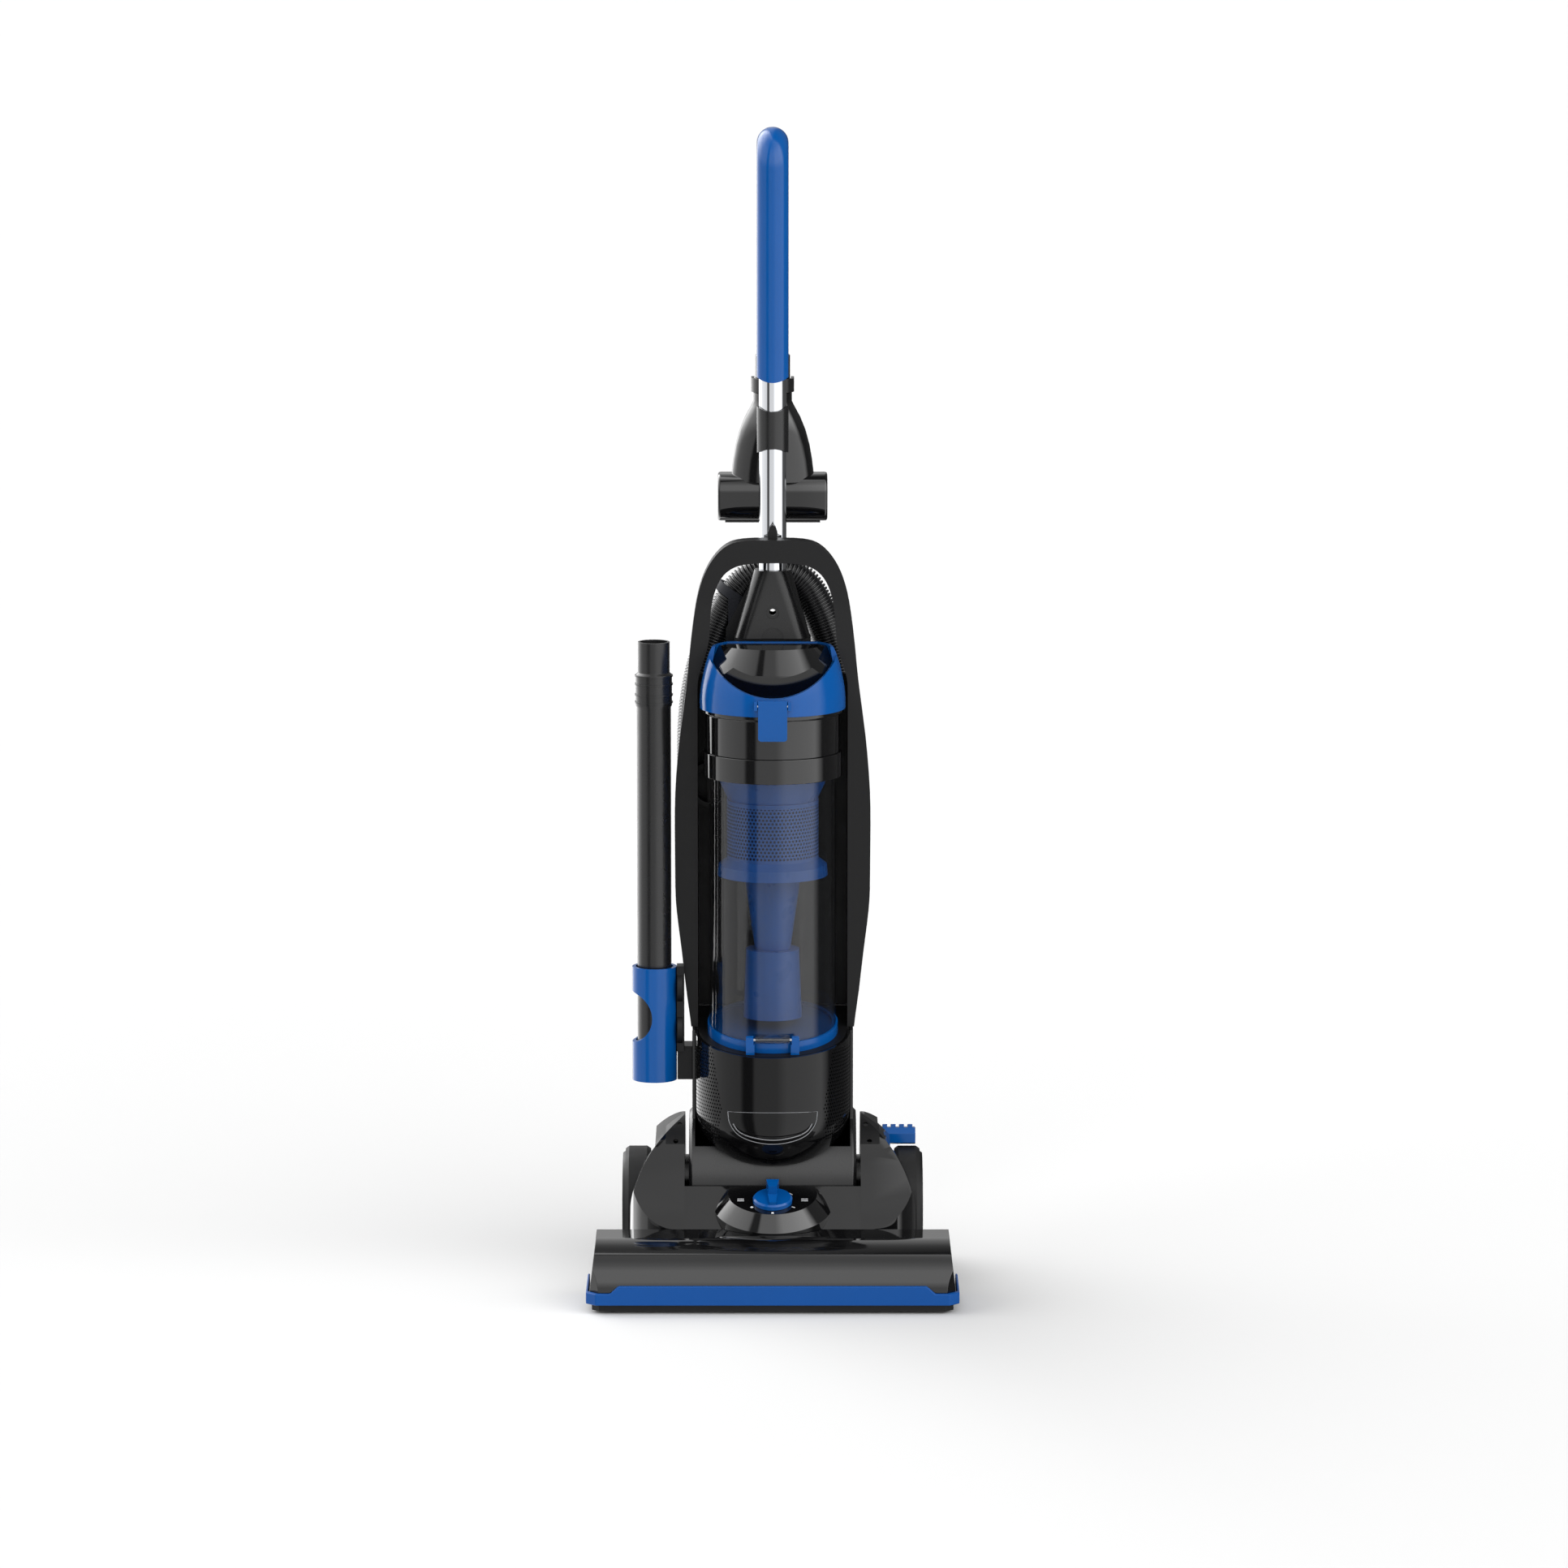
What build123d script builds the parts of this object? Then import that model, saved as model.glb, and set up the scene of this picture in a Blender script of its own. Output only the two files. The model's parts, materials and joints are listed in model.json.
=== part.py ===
"""Upright bagless vacuum cleaner, in millimetres: +Z up, front towards -Y, origin on the floor."""

from build123d import *
from math import cos, radians, sin, tan, atan2, degrees
import os

os.makedirs("parts", exist_ok=True)

# ---- driving dimensions ----------------------------------------------------
FRONT_Y = -150.0        # front of the bumper
HEAD_HALF = 173.5       # half the width of the cleaning head
DECK_TOP = 95.5         # top edge of the sloping deck
NOZZLE_TOP = 62.5       # top of the nozzle cover
NOZZLE_BACK = -64.0     # where the nozzle meets the head shell
BRUSH_Y, BRUSH_Z = -104.0, 30.0
BRUSH_R = 24.0          # roll without its bristles
BRISTLE_R = 28.4

PIVOT_Y, PIVOT_Z = 45.0, 89.0   # recline axis, along X, also the motor shaft
BARREL_R = 67.0
BARREL_HALF = 79.0
TRUNNION_R = 22.0

ARM_IN, ARM_OUT = 83.0, 111.0   # inner and outer faces of the two wheel arms
FENDER_TOP = 152.5
FENDER_BEND = 46.0      # plan radius of the front outer corners
WHEEL_Y, WHEEL_R = 62.0, 57.5
WHEEL_IN, WHEEL_OUT = 113.5, 142.5
AXLE_R = 5.0

BIN_Y, BIN_R = 20.0, 60.0
SEAT_Z, SEAT_TILT = 236.0, 10.0  # plane that the bin stands on, lower at the front
DOOR_T = 10.0
BIN_TOP = 485.0
RING_TOP = 504.0
LID_Z, LID_TOP = 545.0, 602.0
LID_R, LID_BACK = 68.5, 58.0

COLUMN_HALF, COLUMN_BACK = 76.0, 91.0
COVER_R = 73.0          # upright half-round motor cover
SPINE_HALF, SPINE_BACK = 32.0, 120.0
SPINE_TOP, DUCT_TOP = 604.0, 545.0
SHELF_BACK = 93.5
ARCH_TOP, ARCH_IN = 700.0, 678.5

TUBE_Y, TUBE_R = 78.0, 13.0
SOCKET_TOP = 668.0
GRIP_R, GRIP_LOW, GRIP_TOP = 15.0, 846.0, 1071.0

HOSE_R, HOSE_Y = 18.0, 114.5
WAND_X, WAND_Y, WAND_R = -111.5, 20.0, 16.0
WAND_LOW, WAND_TOP = 197.6, 607.0
HOLDER_LOW, HOLDER_TOP = 189.5, 298.0
HOLDER_R, HOLDER_BORE = 21.0, 17.8

DIAL_Y, DIAL_Z, DIAL_TILT = -55.0, 87.0, 16.0
TOOL_Y = 118.0          # centre of the clipped-on tool behind the tube
FIT = 0.06              # radial clearance of a running fit
GAP = 0.3               # clearance between neighbours that do not touch


def save(piece, label):
    """Labels a finished piece and writes its STEP file."""
    piece.part.label = label
    export_step(piece.part, f"parts/{label}.step")


def seat_plane(height):
    """The bin's seat plane, raised by height along its normal."""
    tilt = radians(SEAT_TILT)
    plane = Plane(origin=(0, BIN_Y, SEAT_Z), x_dir=(1, 0, 0), z_dir=(0, -sin(tilt), cos(tilt)))
    return plane.offset(height)


def along_x(x, y, z):
    """A place for solids whose axis runs along X."""
    return Location((x, y, z), (0, 90, 0))


def along_y(x, y, z):
    """A place for solids whose axis runs along Y."""
    return Location((x, y, z), (90, 0, 0))


# ---- cleaning head ---------------------------------------------------------
NOZZLE_Y, NOZZLE_R = -100.0, 45.0   # centre and radius of the rounded front
COVER_WALL = 3.0
SOLE_LOW, SOLE_TOP = 2.5, 8.5
BELT_X, BELT_W = 96.0, 9.0
BELT_SMALL, BELT_LARGE = 6.5, 10.5  # pulley radii: motor, brush
END_IN, END_TOP = 171.0, 164.0      # half width of the cover, low and high


def nozzle_profile(inset):
    """Side outline: an upright front, a quarter round, a flat top and an upright back."""
    radius = NOZZLE_R - inset
    centre_z = NOZZLE_TOP - NOZZLE_R
    low = SOLE_TOP + 0.2 - inset
    with BuildLine() as line:
        Line((NOZZLE_Y - radius, low), (NOZZLE_Y - radius, centre_z))
        ThreePointArc((NOZZLE_Y - radius, centre_z),
                      (NOZZLE_Y - radius * cos(radians(45)), centre_z + radius * sin(radians(45))),
                      (NOZZLE_Y, centre_z + radius))
        Polyline((NOZZLE_Y, centre_z + radius), (NOZZLE_BACK - inset, NOZZLE_TOP - inset),
                 (NOZZLE_BACK - inset, low), (NOZZLE_Y - radius, low))
    return line


def make_nozzle_cover():
    """Half-round cover over the brush roll, its ends drafted and bevelled."""
    with BuildPart() as cover:
        with BuildSketch(Plane.YZ):
            with BuildLine():
                add(nozzle_profile(0).line)
            make_face()
        extrude(amount=END_IN, both=True)
        with BuildSketch(Plane.XZ):
            Polygon((-END_IN, 0), (-END_IN, 12), (-END_TOP, 70), (END_TOP, 70), (END_IN, 12), (END_IN, 0),
                    align=None)
        extrude(amount=170, both=True, mode=Mode.INTERSECT)
        with BuildSketch(Plane.XY):
            Polygon((-END_IN, -60), (-END_IN, -135), (-END_IN + 10, -146), (END_IN - 10, -146),
                    (END_IN, -135), (END_IN, -60), align=None)
        extrude(amount=80, mode=Mode.INTERSECT)
        with BuildSketch(Plane.YZ):
            with BuildLine():
                add(nozzle_profile(COVER_WALL).line)
            make_face()
        extrude(amount=END_TOP - 6, both=True, mode=Mode.SUBTRACT)
        with Locations((BELT_X, NOZZLE_BACK, 41)):
            Box(18, 12, 36, mode=Mode.SUBTRACT)
        with Locations((-60, NOZZLE_BACK, 36)):
            Box(54, 12, 34, mode=Mode.SUBTRACT)
    save(cover, "nozzle_cover")


def make_bumper():
    """Soft strip round the front and the ends of the head, deeper in the middle."""
    depth, corner, side_back = 4.7, 9.0, -62.0
    inner = END_IN + 0.3
    low, end_top, top = 8.8, 19.8, 27.0
    step_in, step_out = 143.0, 151.0
    with BuildPart() as bumper:
        with BuildSketch(Plane.XY.offset(low)):
            Polygon((-HEAD_HALF, side_back), (-HEAD_HALF, FRONT_Y + corner), (-HEAD_HALF + corner, FRONT_Y),
                    (HEAD_HALF - corner, FRONT_Y), (HEAD_HALF, FRONT_Y + corner), (HEAD_HALF, side_back),
                    align=None)
            Polygon((-inner, side_back + 1), (-inner, -134.8), (-inner + 9.6, FRONT_Y + depth),
                    (inner - 9.6, FRONT_Y + depth), (inner, -134.8), (inner, side_back + 1),
                    align=None, mode=Mode.SUBTRACT)
        extrude(amount=top - low)
        with BuildSketch(Plane.XZ):
            Polygon((-HEAD_HALF - 2, low - 1), (-HEAD_HALF - 2, end_top), (-step_out, end_top), (-step_in, top),
                    (step_in, top), (step_out, end_top), (HEAD_HALF + 2, end_top), (HEAD_HALF + 2, low - 1),
                    align=None)
        extrude(amount=170, both=True, mode=Mode.INTERSECT)
    save(bumper, "bumper")


def make_soleplate():
    """Base plate with the suction slot, roller pockets and two flat glides on the floor."""
    half, front, middle, back = 168.0, -145.0, -63.0, 18.0
    with BuildPart() as sole:
        with BuildSketch(Plane.XY.offset(SOLE_LOW)):
            Polygon((-half, middle), (-half, front + 7), (-half + 7, front), (half - 7, front),
                    (half, front + 7), (half, middle), (110, middle), (104, back), (-104, back),
                    (-110, middle), align=None)
            with Locations((0, BRUSH_Y)):
                RectangleRounded(310, 66, 4, mode=Mode.SUBTRACT)
            with Locations((-70, ROLLER_Y), (70, ROLLER_Y)):
                Rectangle(39, 30, mode=Mode.SUBTRACT)
        extrude(amount=SOLE_TOP - SOLE_LOW)
        with Locations((-161.5, BRUSH_Y, SOLE_LOW / 2 + 0.5), (161.5, BRUSH_Y, SOLE_LOW / 2 + 0.5)):
            Box(9, 50, SOLE_LOW + 1)
    save(sole, "soleplate")


ROLLER_Y, ROLLER_R = -45.0, 9.0


def make_rollers():
    """Two small front rollers, each on its own short pin."""
    for side, name in ((-1, "left"), (1, "right")):
        with BuildPart() as roller:
            with Locations(along_x(side * 70, ROLLER_Y, ROLLER_R)):
                Cylinder(ROLLER_R, 18)
                Cylinder(2.5 + FIT, 18, mode=Mode.SUBTRACT)
            chamfer(roller.edges().filter_by(GeomType.CIRCLE).sort_by(SortBy.RADIUS)[-2:], 1)
        save(roller, f"front_roller_{name}")
    with BuildPart() as pins:
        with Locations(along_x(-70, ROLLER_Y, ROLLER_R), along_x(70, ROLLER_Y, ROLLER_R)):
            Cylinder(2.5, 38)
        for x in (-87.5, -52.5, 52.5, 87.5):
            with Locations((x, ROLLER_Y, ROLLER_R)):
                Box(4, 12, 10)
    save(pins, "roller_pins")


def fender_face(inset):
    """Front outline of one fender, from the arm's inner face out to its round shoulder."""
    low = SOLE_TOP - inset if inset else SOLE_TOP
    top = FENDER_TOP - 1.6 * inset
    with BuildLine() as line:
        Polyline((135 - inset, 60), (135 - inset, low), (ARM_IN + inset, low), (ARM_IN + inset, top))
        ThreePointArc((ARM_IN + inset, top), (118.5 - 0.9 * inset, 119 - inset), (135 - inset, 60))
    return line


def fender_side(inset):
    """Side outline of the fenders: a long rise from the nozzle and a round back."""
    front = NOZZLE_BACK + GAP + inset
    low = SOLE_TOP - inset if inset else SOLE_TOP
    with BuildLine() as line:
        Line((front, low), (front, 62 - inset))
        Spline((front, 62 - inset), (-20 + inset, 112 - inset), (40, FENDER_TOP - inset),
               (84, 136 - inset), (108 - inset, 84))
        Polyline((108 - inset, 84), (108 - inset, 36), (94, low), (front, low))
    return line


def fender_pair(inset, trim):
    """Both fenders as one body, with the outside cut back for the wheels."""
    with BuildPart(mode=Mode.PRIVATE) as pair:
        with BuildSketch(Plane.XZ):
            with BuildLine():
                add(fender_face(inset).line)
            make_face()
        extrude(amount=150, both=True)
        with BuildSketch(Plane.YZ):
            with BuildLine():
                add(fender_side(inset).line)
            make_face()
        extrude(amount=150, both=True, mode=Mode.INTERSECT)
        with BuildSketch(Plane.XY):
            with BuildLine():
                front, edge, bend = NOZZLE_BACK + GAP + inset, 135 - inset, FENDER_BEND - inset
                Polyline((edge - bend, front), (0, front), (0, 150), (edge, 150), (edge, front + bend))
                RadiusArc((edge, front + bend), (edge - bend, front), bend)
            make_face()
        extrude(amount=200, mode=Mode.INTERSECT)
        with Locations((trim + 25, 66 - inset, 90)):
            Box(50, 140, 200, mode=Mode.SUBTRACT)
        mirror(about=Plane.YZ)
    return pair.part


def deck_body(inset):
    """The sloping deck in front of the barrel, as one prism between the fenders."""
    with BuildPart(mode=Mode.PRIVATE) as deck:
        with BuildSketch(Plane.YZ):
            Polygon((NOZZLE_BACK + GAP + inset, SOLE_TOP - inset), (NOZZLE_BACK + GAP + inset, 61 - inset),
                    (-26 - inset, DECK_TOP - 1.5 * inset), (-26 - inset, SOLE_TOP - inset), align=None)
        extrude(amount=ARM_IN + 2 + 1.5 * inset, both=True)
    return deck.part


PEDAL_Y, PEDAL_Z = 66.0, 123.0


def make_head_shell():
    """Rear cover of the head: deck, two fenders and the hollow arms for barrel and wheels."""
    with BuildPart() as shell:
        add(fender_pair(0, ARM_OUT))
        add(deck_body(0))
        add(fender_pair(3, ARM_OUT - 3), mode=Mode.SUBTRACT)
        add(deck_body(3), mode=Mode.SUBTRACT)
        with Locations(along_x(-ARM_IN - 12, WHEEL_Y, WHEEL_R), along_x(ARM_IN + 12, WHEEL_Y, WHEEL_R)):
            Cylinder(10, 22)
        with Locations(along_x(0, PIVOT_Y, PIVOT_Z)):
            Cylinder(TRUNNION_R + FIT, 2 * (ARM_IN + 3.5), mode=Mode.SUBTRACT)
        for side in (-1, 1):
            with Locations(along_x(side * (ARM_IN + 16), WHEEL_Y, WHEEL_R)):
                Cylinder(AXLE_R, 26, mode=Mode.SUBTRACT)
            with Locations((side * 91.5, 20, 142)):
                Box(19, 44, 60, mode=Mode.SUBTRACT)
        with Locations((BELT_X, NOZZLE_BACK, 41)):
            Box(18, 12, 36, mode=Mode.SUBTRACT)
        with Locations((-60, NOZZLE_BACK, 36)):
            Box(54, 12, 34, mode=Mode.SUBTRACT)
        with Locations((106, 82, 137)):
            Box(12, 60, 56, mode=Mode.SUBTRACT)
        with Locations(along_x(93, PEDAL_Y, PEDAL_Z)):
            Cylinder(6, 14)
            Cylinder(2.5, 14, mode=Mode.SUBTRACT)
        with Locations(Location((0, DIAL_Y, DIAL_Z), (DIAL_TILT, 0, 0))):
            Cylinder(7.5, 60, mode=Mode.SUBTRACT)
    save(shell, "head_shell")


def make_trunnion_caps():
    """Two curved covers over the trunnions, each held by two screws."""
    for side, name in ((-1, "left"), (1, "right")):
        with BuildPart() as cap:
            add(fender_pair(0, ARM_OUT))
            add(fender_pair(2.5, ARM_OUT - 3), mode=Mode.SUBTRACT)
            with Locations((side * 91.5, 20, 142)):
                Box(19, 44, 60, mode=Mode.INTERSECT)
            with Locations((side * 91.5, 20, 122), (side * 88, 20, 145)):
                Cylinder(2.4, 90, rotation=(60, 0, 0), mode=Mode.SUBTRACT)
        save(cap, f"trunnion_cap_{name}")


def make_dial_pod():
    """Raised half-round platform that carries the height knob."""
    with BuildPart() as pod:
        with BuildSketch(Plane.YZ) as section:
            Polygon((0, 0), (42, 0), (56, -13), (56, -50), (0, -50), align=None)
        revolve(axis=Axis.Z)
    tilted = Location((0, -39, 91.6), (DIAL_TILT, 0, 0)) * pod.part
    with BuildPart() as platform:
        add(tilted)
        with BuildSketch(Plane.YZ):
            Polygon((-200, NOZZLE_TOP + 0.1), (-63.9, NOZZLE_TOP + 0.1), (-63.9, 61.1), (-26, DECK_TOP + 0.1), (-26, 0),
                    (-200, 0), align=None)
        extrude(amount=100, both=True, mode=Mode.SUBTRACT)
        with Locations((0, 24, 80)):
            Box(200, 100, 200, mode=Mode.SUBTRACT)
        with Locations(Location((0, DIAL_Y, DIAL_Z), (DIAL_TILT, 0, 0))):
            Cylinder(7 + FIT, 60, mode=Mode.SUBTRACT)
    save(platform, "dial_pod")


def make_height_knob():
    """Round knob with a tall finger grip and a stem through the platform."""
    with BuildPart() as knob:
        Cylinder(18.5, 5, align=(Align.CENTER, Align.CENTER, Align.MIN))
        chamfer(knob.faces().sort_by(Axis.Z)[-1].edges(), 1.5)
        with BuildSketch(Plane.XY.offset(5)):
            Polygon((-3, -17), (3, -17), (6, 14), (-6, 14), align=None)
        extrude(amount=3)
        with BuildSketch(Plane.XY.offset(8)):
            Polygon((-4, 0), (4, 0), (6, 14), (-6, 14), align=None)
        extrude(amount=8)
        with Locations((0, 0, -12)):
            Cylinder(7, 24)
        with Locations((0, 0, -25)):
            Cylinder(7.3, 2)
    placed = Location((0, DIAL_Y, DIAL_Z), (DIAL_TILT, 0, 0)) * Location((0, 0, 0.3)) * knob.part
    with BuildPart() as height_knob:
        add(placed)
    save(height_knob, "height_knob")


def make_brush():
    """Spinning brush roll with its bristle rows, pulley groove and two end bearings."""
    end = 146.0
    with BuildPart() as roll:
        with Locations(along_x(0, BRUSH_Y, BRUSH_Z)):
            Cylinder(BRUSH_R, 2 * end)
            Cylinder(4, 2 * end + 16)
        with Locations(along_x(BELT_X, BRUSH_Y, BRUSH_Z)):
            Cylinder(BRUSH_R + 1, BELT_W + 5, mode=Mode.SUBTRACT)
            Cylinder(BELT_LARGE, BELT_W + 5)
    save(roll, "brush_roll")
    with BuildPart() as bristles:
        for turn in range(4):
            angle = 90 * turn
            for start, stop in ((-140, 86), (106, 140)):
                with Locations(Location((0, BRUSH_Y, BRUSH_Z), (angle, 0, 0))):
                    with Locations(((start + stop) / 2, 0, (BRUSH_R + BRISTLE_R) / 2 + 0.1)):
                        Box(stop - start, 4, BRISTLE_R - BRUSH_R)
        with Locations(along_x(0, BRUSH_Y, BRUSH_Z)):
            Cylinder(BRUSH_R, 2 * end + 2, mode=Mode.SUBTRACT)
    save(bristles, "bristle_rows")
    with BuildPart() as bearings:
        for side in (-1, 1):
            with Locations(along_x(side * 152.5, BRUSH_Y, BRUSH_Z)):
                Cylinder(12, 9)
                Cylinder(4 + FIT, 9, mode=Mode.SUBTRACT)
            with Locations((side * 152.5, BRUSH_Y, 14)):
                Box(9, 16, 10.6)
            with Locations(along_x(side * 152.5, BRUSH_Y, BRUSH_Z)):
                Cylinder(4 + FIT, 9, mode=Mode.SUBTRACT)
    save(bearings, "brush_bearings")


def make_belt():
    """Flat drive belt from the motor pulley to the brush groove."""
    thick = 1.4
    with BuildPart() as belt:
        with BuildSketch(Plane.YZ.offset(BELT_X - BELT_W / 2)):
            with Locations((PIVOT_Y, PIVOT_Z)):
                Circle(BELT_SMALL + GAP + thick)
            with Locations((BRUSH_Y, BRUSH_Z)):
                Circle(BELT_LARGE + GAP + thick)
            make_hull()
            with BuildSketch(mode=Mode.PRIVATE) as inside:
                with Locations((PIVOT_Y, PIVOT_Z)):
                    Circle(BELT_SMALL + GAP)
                with Locations((BRUSH_Y, BRUSH_Z)):
                    Circle(BELT_LARGE + GAP)
                make_hull()
            add(inside.sketch, mode=Mode.SUBTRACT)
        extrude(amount=BELT_W)
    save(belt, "drive_belt")


def make_wheels():
    """Rear wheels: dished rims, rubber treads and their stub axles."""
    for side, name in ((-1, "left"), (1, "right")):
        with BuildPart() as rim:
            with BuildSketch(Plane.XZ):
                Polygon((AXLE_R + FIT, WHEEL_IN), (AXLE_R + FIT, WHEEL_OUT - 6), (14, WHEEL_OUT - 6),
                        (20, WHEEL_OUT - 14), (38, WHEEL_OUT - 12), (46, WHEEL_OUT - 3), (51, WHEEL_OUT),
                        (53, WHEEL_OUT - 3), (53, WHEEL_IN + 3), (44, WHEEL_IN + 3), (40, WHEEL_IN + 8),
                        (20, WHEEL_IN + 8), (14, WHEEL_IN), align=None)
            revolve(axis=Axis.Z)
        with BuildPart() as tread:
            with BuildSketch(Plane.XZ):
                Polygon((53, WHEEL_IN + 3), (53, WHEEL_OUT - 3), (55, WHEEL_OUT - 2.5), (WHEEL_R, WHEEL_OUT - 6),
                        (WHEEL_R, WHEEL_IN + 6), (55, WHEEL_IN + 2.5), align=None)
            revolve(axis=Axis.Z)
        for piece, label in ((rim, "wheel_rim"), (tread, "wheel_tread")):
            with BuildPart() as placed:
                add(Location((0, WHEEL_Y, WHEEL_R), (0, side * 90, 0)) * piece.part)
            save(placed, f"{label}_{name}")
    with BuildPart() as axles:
        for side in (-1, 1):
            with Locations(along_x(side * (ARM_IN + 29), WHEEL_Y, WHEEL_R)):
                Cylinder(AXLE_R, 50)
            with Locations(along_x(side * (WHEEL_OUT - 4), WHEEL_Y, WHEEL_R)):
                Cylinder(9, 3)
    save(axles, "wheel_axles")


def make_pedal():
    """Foot pedal over the right wheel with four raised lugs, on its own pin."""
    with BuildPart() as pedal:
        with BuildSketch(Plane.YZ.offset(102)):
            Polygon((61, 119), (61, 128), (66, 133), (80, 131), (100, 124), (104, 119), (100, 117), (66, 117),
                    align=None)
        extrude(amount=34)
        for number in range(4):
            with Locations((107 + 8 * number, 80, 131.5)):
                Box(4.5, 26, 3.5, rotation=(-12, 0, 0))
        with Locations(along_x(119, PEDAL_Y, PEDAL_Z)):
            Cylinder(2.5 + FIT, 60, mode=Mode.SUBTRACT)
    save(pedal, "release_pedal")
    with BuildPart() as pin:
        with Locations(along_x(111, PEDAL_Y, PEDAL_Z)):
            Cylinder(2.5, 48)
    save(pin, "pedal_pin")


# ---- body ------------------------------------------------------------------
PORT_X, PORT_Z, PORT_R = 54.5, 190.0, 12.5
CUFF_X, CUFF_R, CUFF_LOW, CUFF_TOP = 54.5, 20.5, 172.0, 236.0


def seat_wedge(height, top):
    """Everything above the bin's seat plane, raised by height."""
    with BuildPart(mode=Mode.PRIVATE) as wedge:
        with BuildSketch(seat_plane(height)):
            Rectangle(400, 400)
        extrude(amount=top)
    return wedge.part


def column_outline(inset):
    """Plan of the motor column: square shoulders behind, open to the round cover in front."""
    with BuildSketch(mode=Mode.PRIVATE) as plan:
        with Locations((0, (BIN_Y + COLUMN_BACK) / 2)):
            Rectangle(2 * (COLUMN_HALF - inset), COLUMN_BACK - BIN_Y - 2 * inset)
    return plan.sketch


def make_barrel():
    """Body base: the barrel that turns between the arms, its trunnions and the motor column."""
    wall = 3.0
    with BuildPart() as barrel:
        with Locations(along_x(0, PIVOT_Y, PIVOT_Z)):
            Cylinder(BARREL_R, 2 * BARREL_HALF)
        chamfer(barrel.edges().filter_by(GeomType.CIRCLE), 3)
        with BuildSketch(Plane.XY.offset(PIVOT_Z + 10)):
            add(column_outline(0))
        extrude(amount=170)
        with Locations(along_x(0, PIVOT_Y, PIVOT_Z)):
            Cylinder(TRUNNION_R, 2 * (ARM_IN + 3))
            Cylinder(BARREL_R - wall, 2 * (BARREL_HALF - wall), mode=Mode.SUBTRACT)
        with BuildSketch(Plane.XY.offset(PIVOT_Z + 10)):
            add(column_outline(wall))
        extrude(amount=200, mode=Mode.SUBTRACT)
        add(seat_wedge(0, 200), mode=Mode.SUBTRACT)
        with Locations(along_x(0, PIVOT_Y, PIVOT_Z)):
            Cylinder(TRUNNION_R - 4, 2 * (ARM_IN + 4), mode=Mode.SUBTRACT)
        with BuildSketch(Plane.XZ.offset(-BIN_Y - 10)):
            with Locations((0, 190)):
                Rectangle(2 * (COLUMN_HALF - wall), 120)
        extrude(amount=60, mode=Mode.SUBTRACT)
        with Locations(along_y(-PORT_X, COLUMN_BACK, PORT_Z), along_y(PORT_X, COLUMN_BACK, PORT_Z)):
            Cylinder(PORT_R, 20, mode=Mode.SUBTRACT)
    save(barrel, "barrel_column")


def make_front_cover():
    """Half-round motor cover with a bowl-shaped foot, a grip ledge and two vent fields."""
    wall = 2.6
    with BuildPart() as cover:
        with BuildSketch(Plane.XZ.offset(-BIN_Y)):
            with BuildLine():
                Polyline((0, 112), (34, 112))
                Spline((34, 112), (56, 125), (COVER_R, 166), tangents=[(1, 0.25), (0, 1)])
                Polyline((COVER_R, 166), (COVER_R, 260), (0, 260), (0, 112))
            make_face()
        revolve(axis=Axis((0, BIN_Y, 0), (0, 0, 1)))
        with Locations((0, BIN_Y + 50, 200)):
            Box(300, 100, 400, mode=Mode.SUBTRACT)
        with BuildSketch(Plane.XZ.offset(-BIN_Y)):
            with BuildLine():
                Polyline((0, 112 + wall), (33, 112 + wall))
                Spline((33, 112 + wall), (54, 127), (COVER_R - wall, 168), tangents=[(1, 0.25), (0, 1)])
                Polyline((COVER_R - wall, 168), (COVER_R - wall, 270), (0, 270), (0, 112 + wall))
            make_face()
        revolve(axis=Axis((0, BIN_Y, 0), (0, 0, 1)), mode=Mode.SUBTRACT)
        with Locations(along_x(0, PIVOT_Y, PIVOT_Z)):
            Cylinder(BARREL_R + 0.1, 300, mode=Mode.SUBTRACT)
        add(seat_wedge(0, 200), mode=Mode.SUBTRACT)
    save(cover, "front_cover")


def make_seat():
    """Tray that the bin stands on, inside the top of the column and the cover."""
    with BuildPart() as seat:
        with BuildSketch(seat_plane(-6)):
            Circle(COVER_R - 3.2)
            with Locations((0, 35)):
                Rectangle(2 * (COLUMN_HALF - 3.6), 62)
            Circle(16, mode=Mode.SUBTRACT)
        extrude(amount=6)
        with Locations((0, COLUMN_BACK + 22, 240)):
            Box(300, 50.6, 100, mode=Mode.SUBTRACT)
    save(seat, "bin_seat")


FRAME_OUT = [(76.3, 224), (77, 237), (81, 268), (86.3, 314), (91.5, 361), (92, 392), (92, 455), (87, 517),
             (81, 563), (78, 594), (74.4, 625), (68.4, 656), (62.3, 672), (52.8, 686.5), (43.3, 694.8),
             (33.8, 698.4), (22, 699.8), (0, ARCH_TOP)]
FRAME_IN = [(70.6, 224), (70.6, 560), (62, 596), (59.5, 612), (58.2, 632), (54.7, 650), (49, 663), (43, 670),
            (35, 674.8), (23, 677.6), (0, ARCH_IN)]


def frame_ring():
    """Front view of the loop: outer arch less the opening."""
    with BuildSketch(Plane.XZ, mode=Mode.PRIVATE) as ring:
        with BuildLine():
            Spline(*FRAME_OUT, tangents=[(0, 1), (-1, 0)])
            Polyline((0, ARCH_TOP), (0, 224), FRAME_OUT[0])
        make_face()
        with BuildLine():
            Line(FRAME_IN[0], FRAME_IN[1])
            Spline(*FRAME_IN[1:], tangents=[(0, 1), (-1, 0)])
            Polyline((0, ARCH_IN), (0, 224), FRAME_IN[0])
        make_face(mode=Mode.SUBTRACT)
        mirror(about=Plane.YZ)
    return ring.sketch


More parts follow.
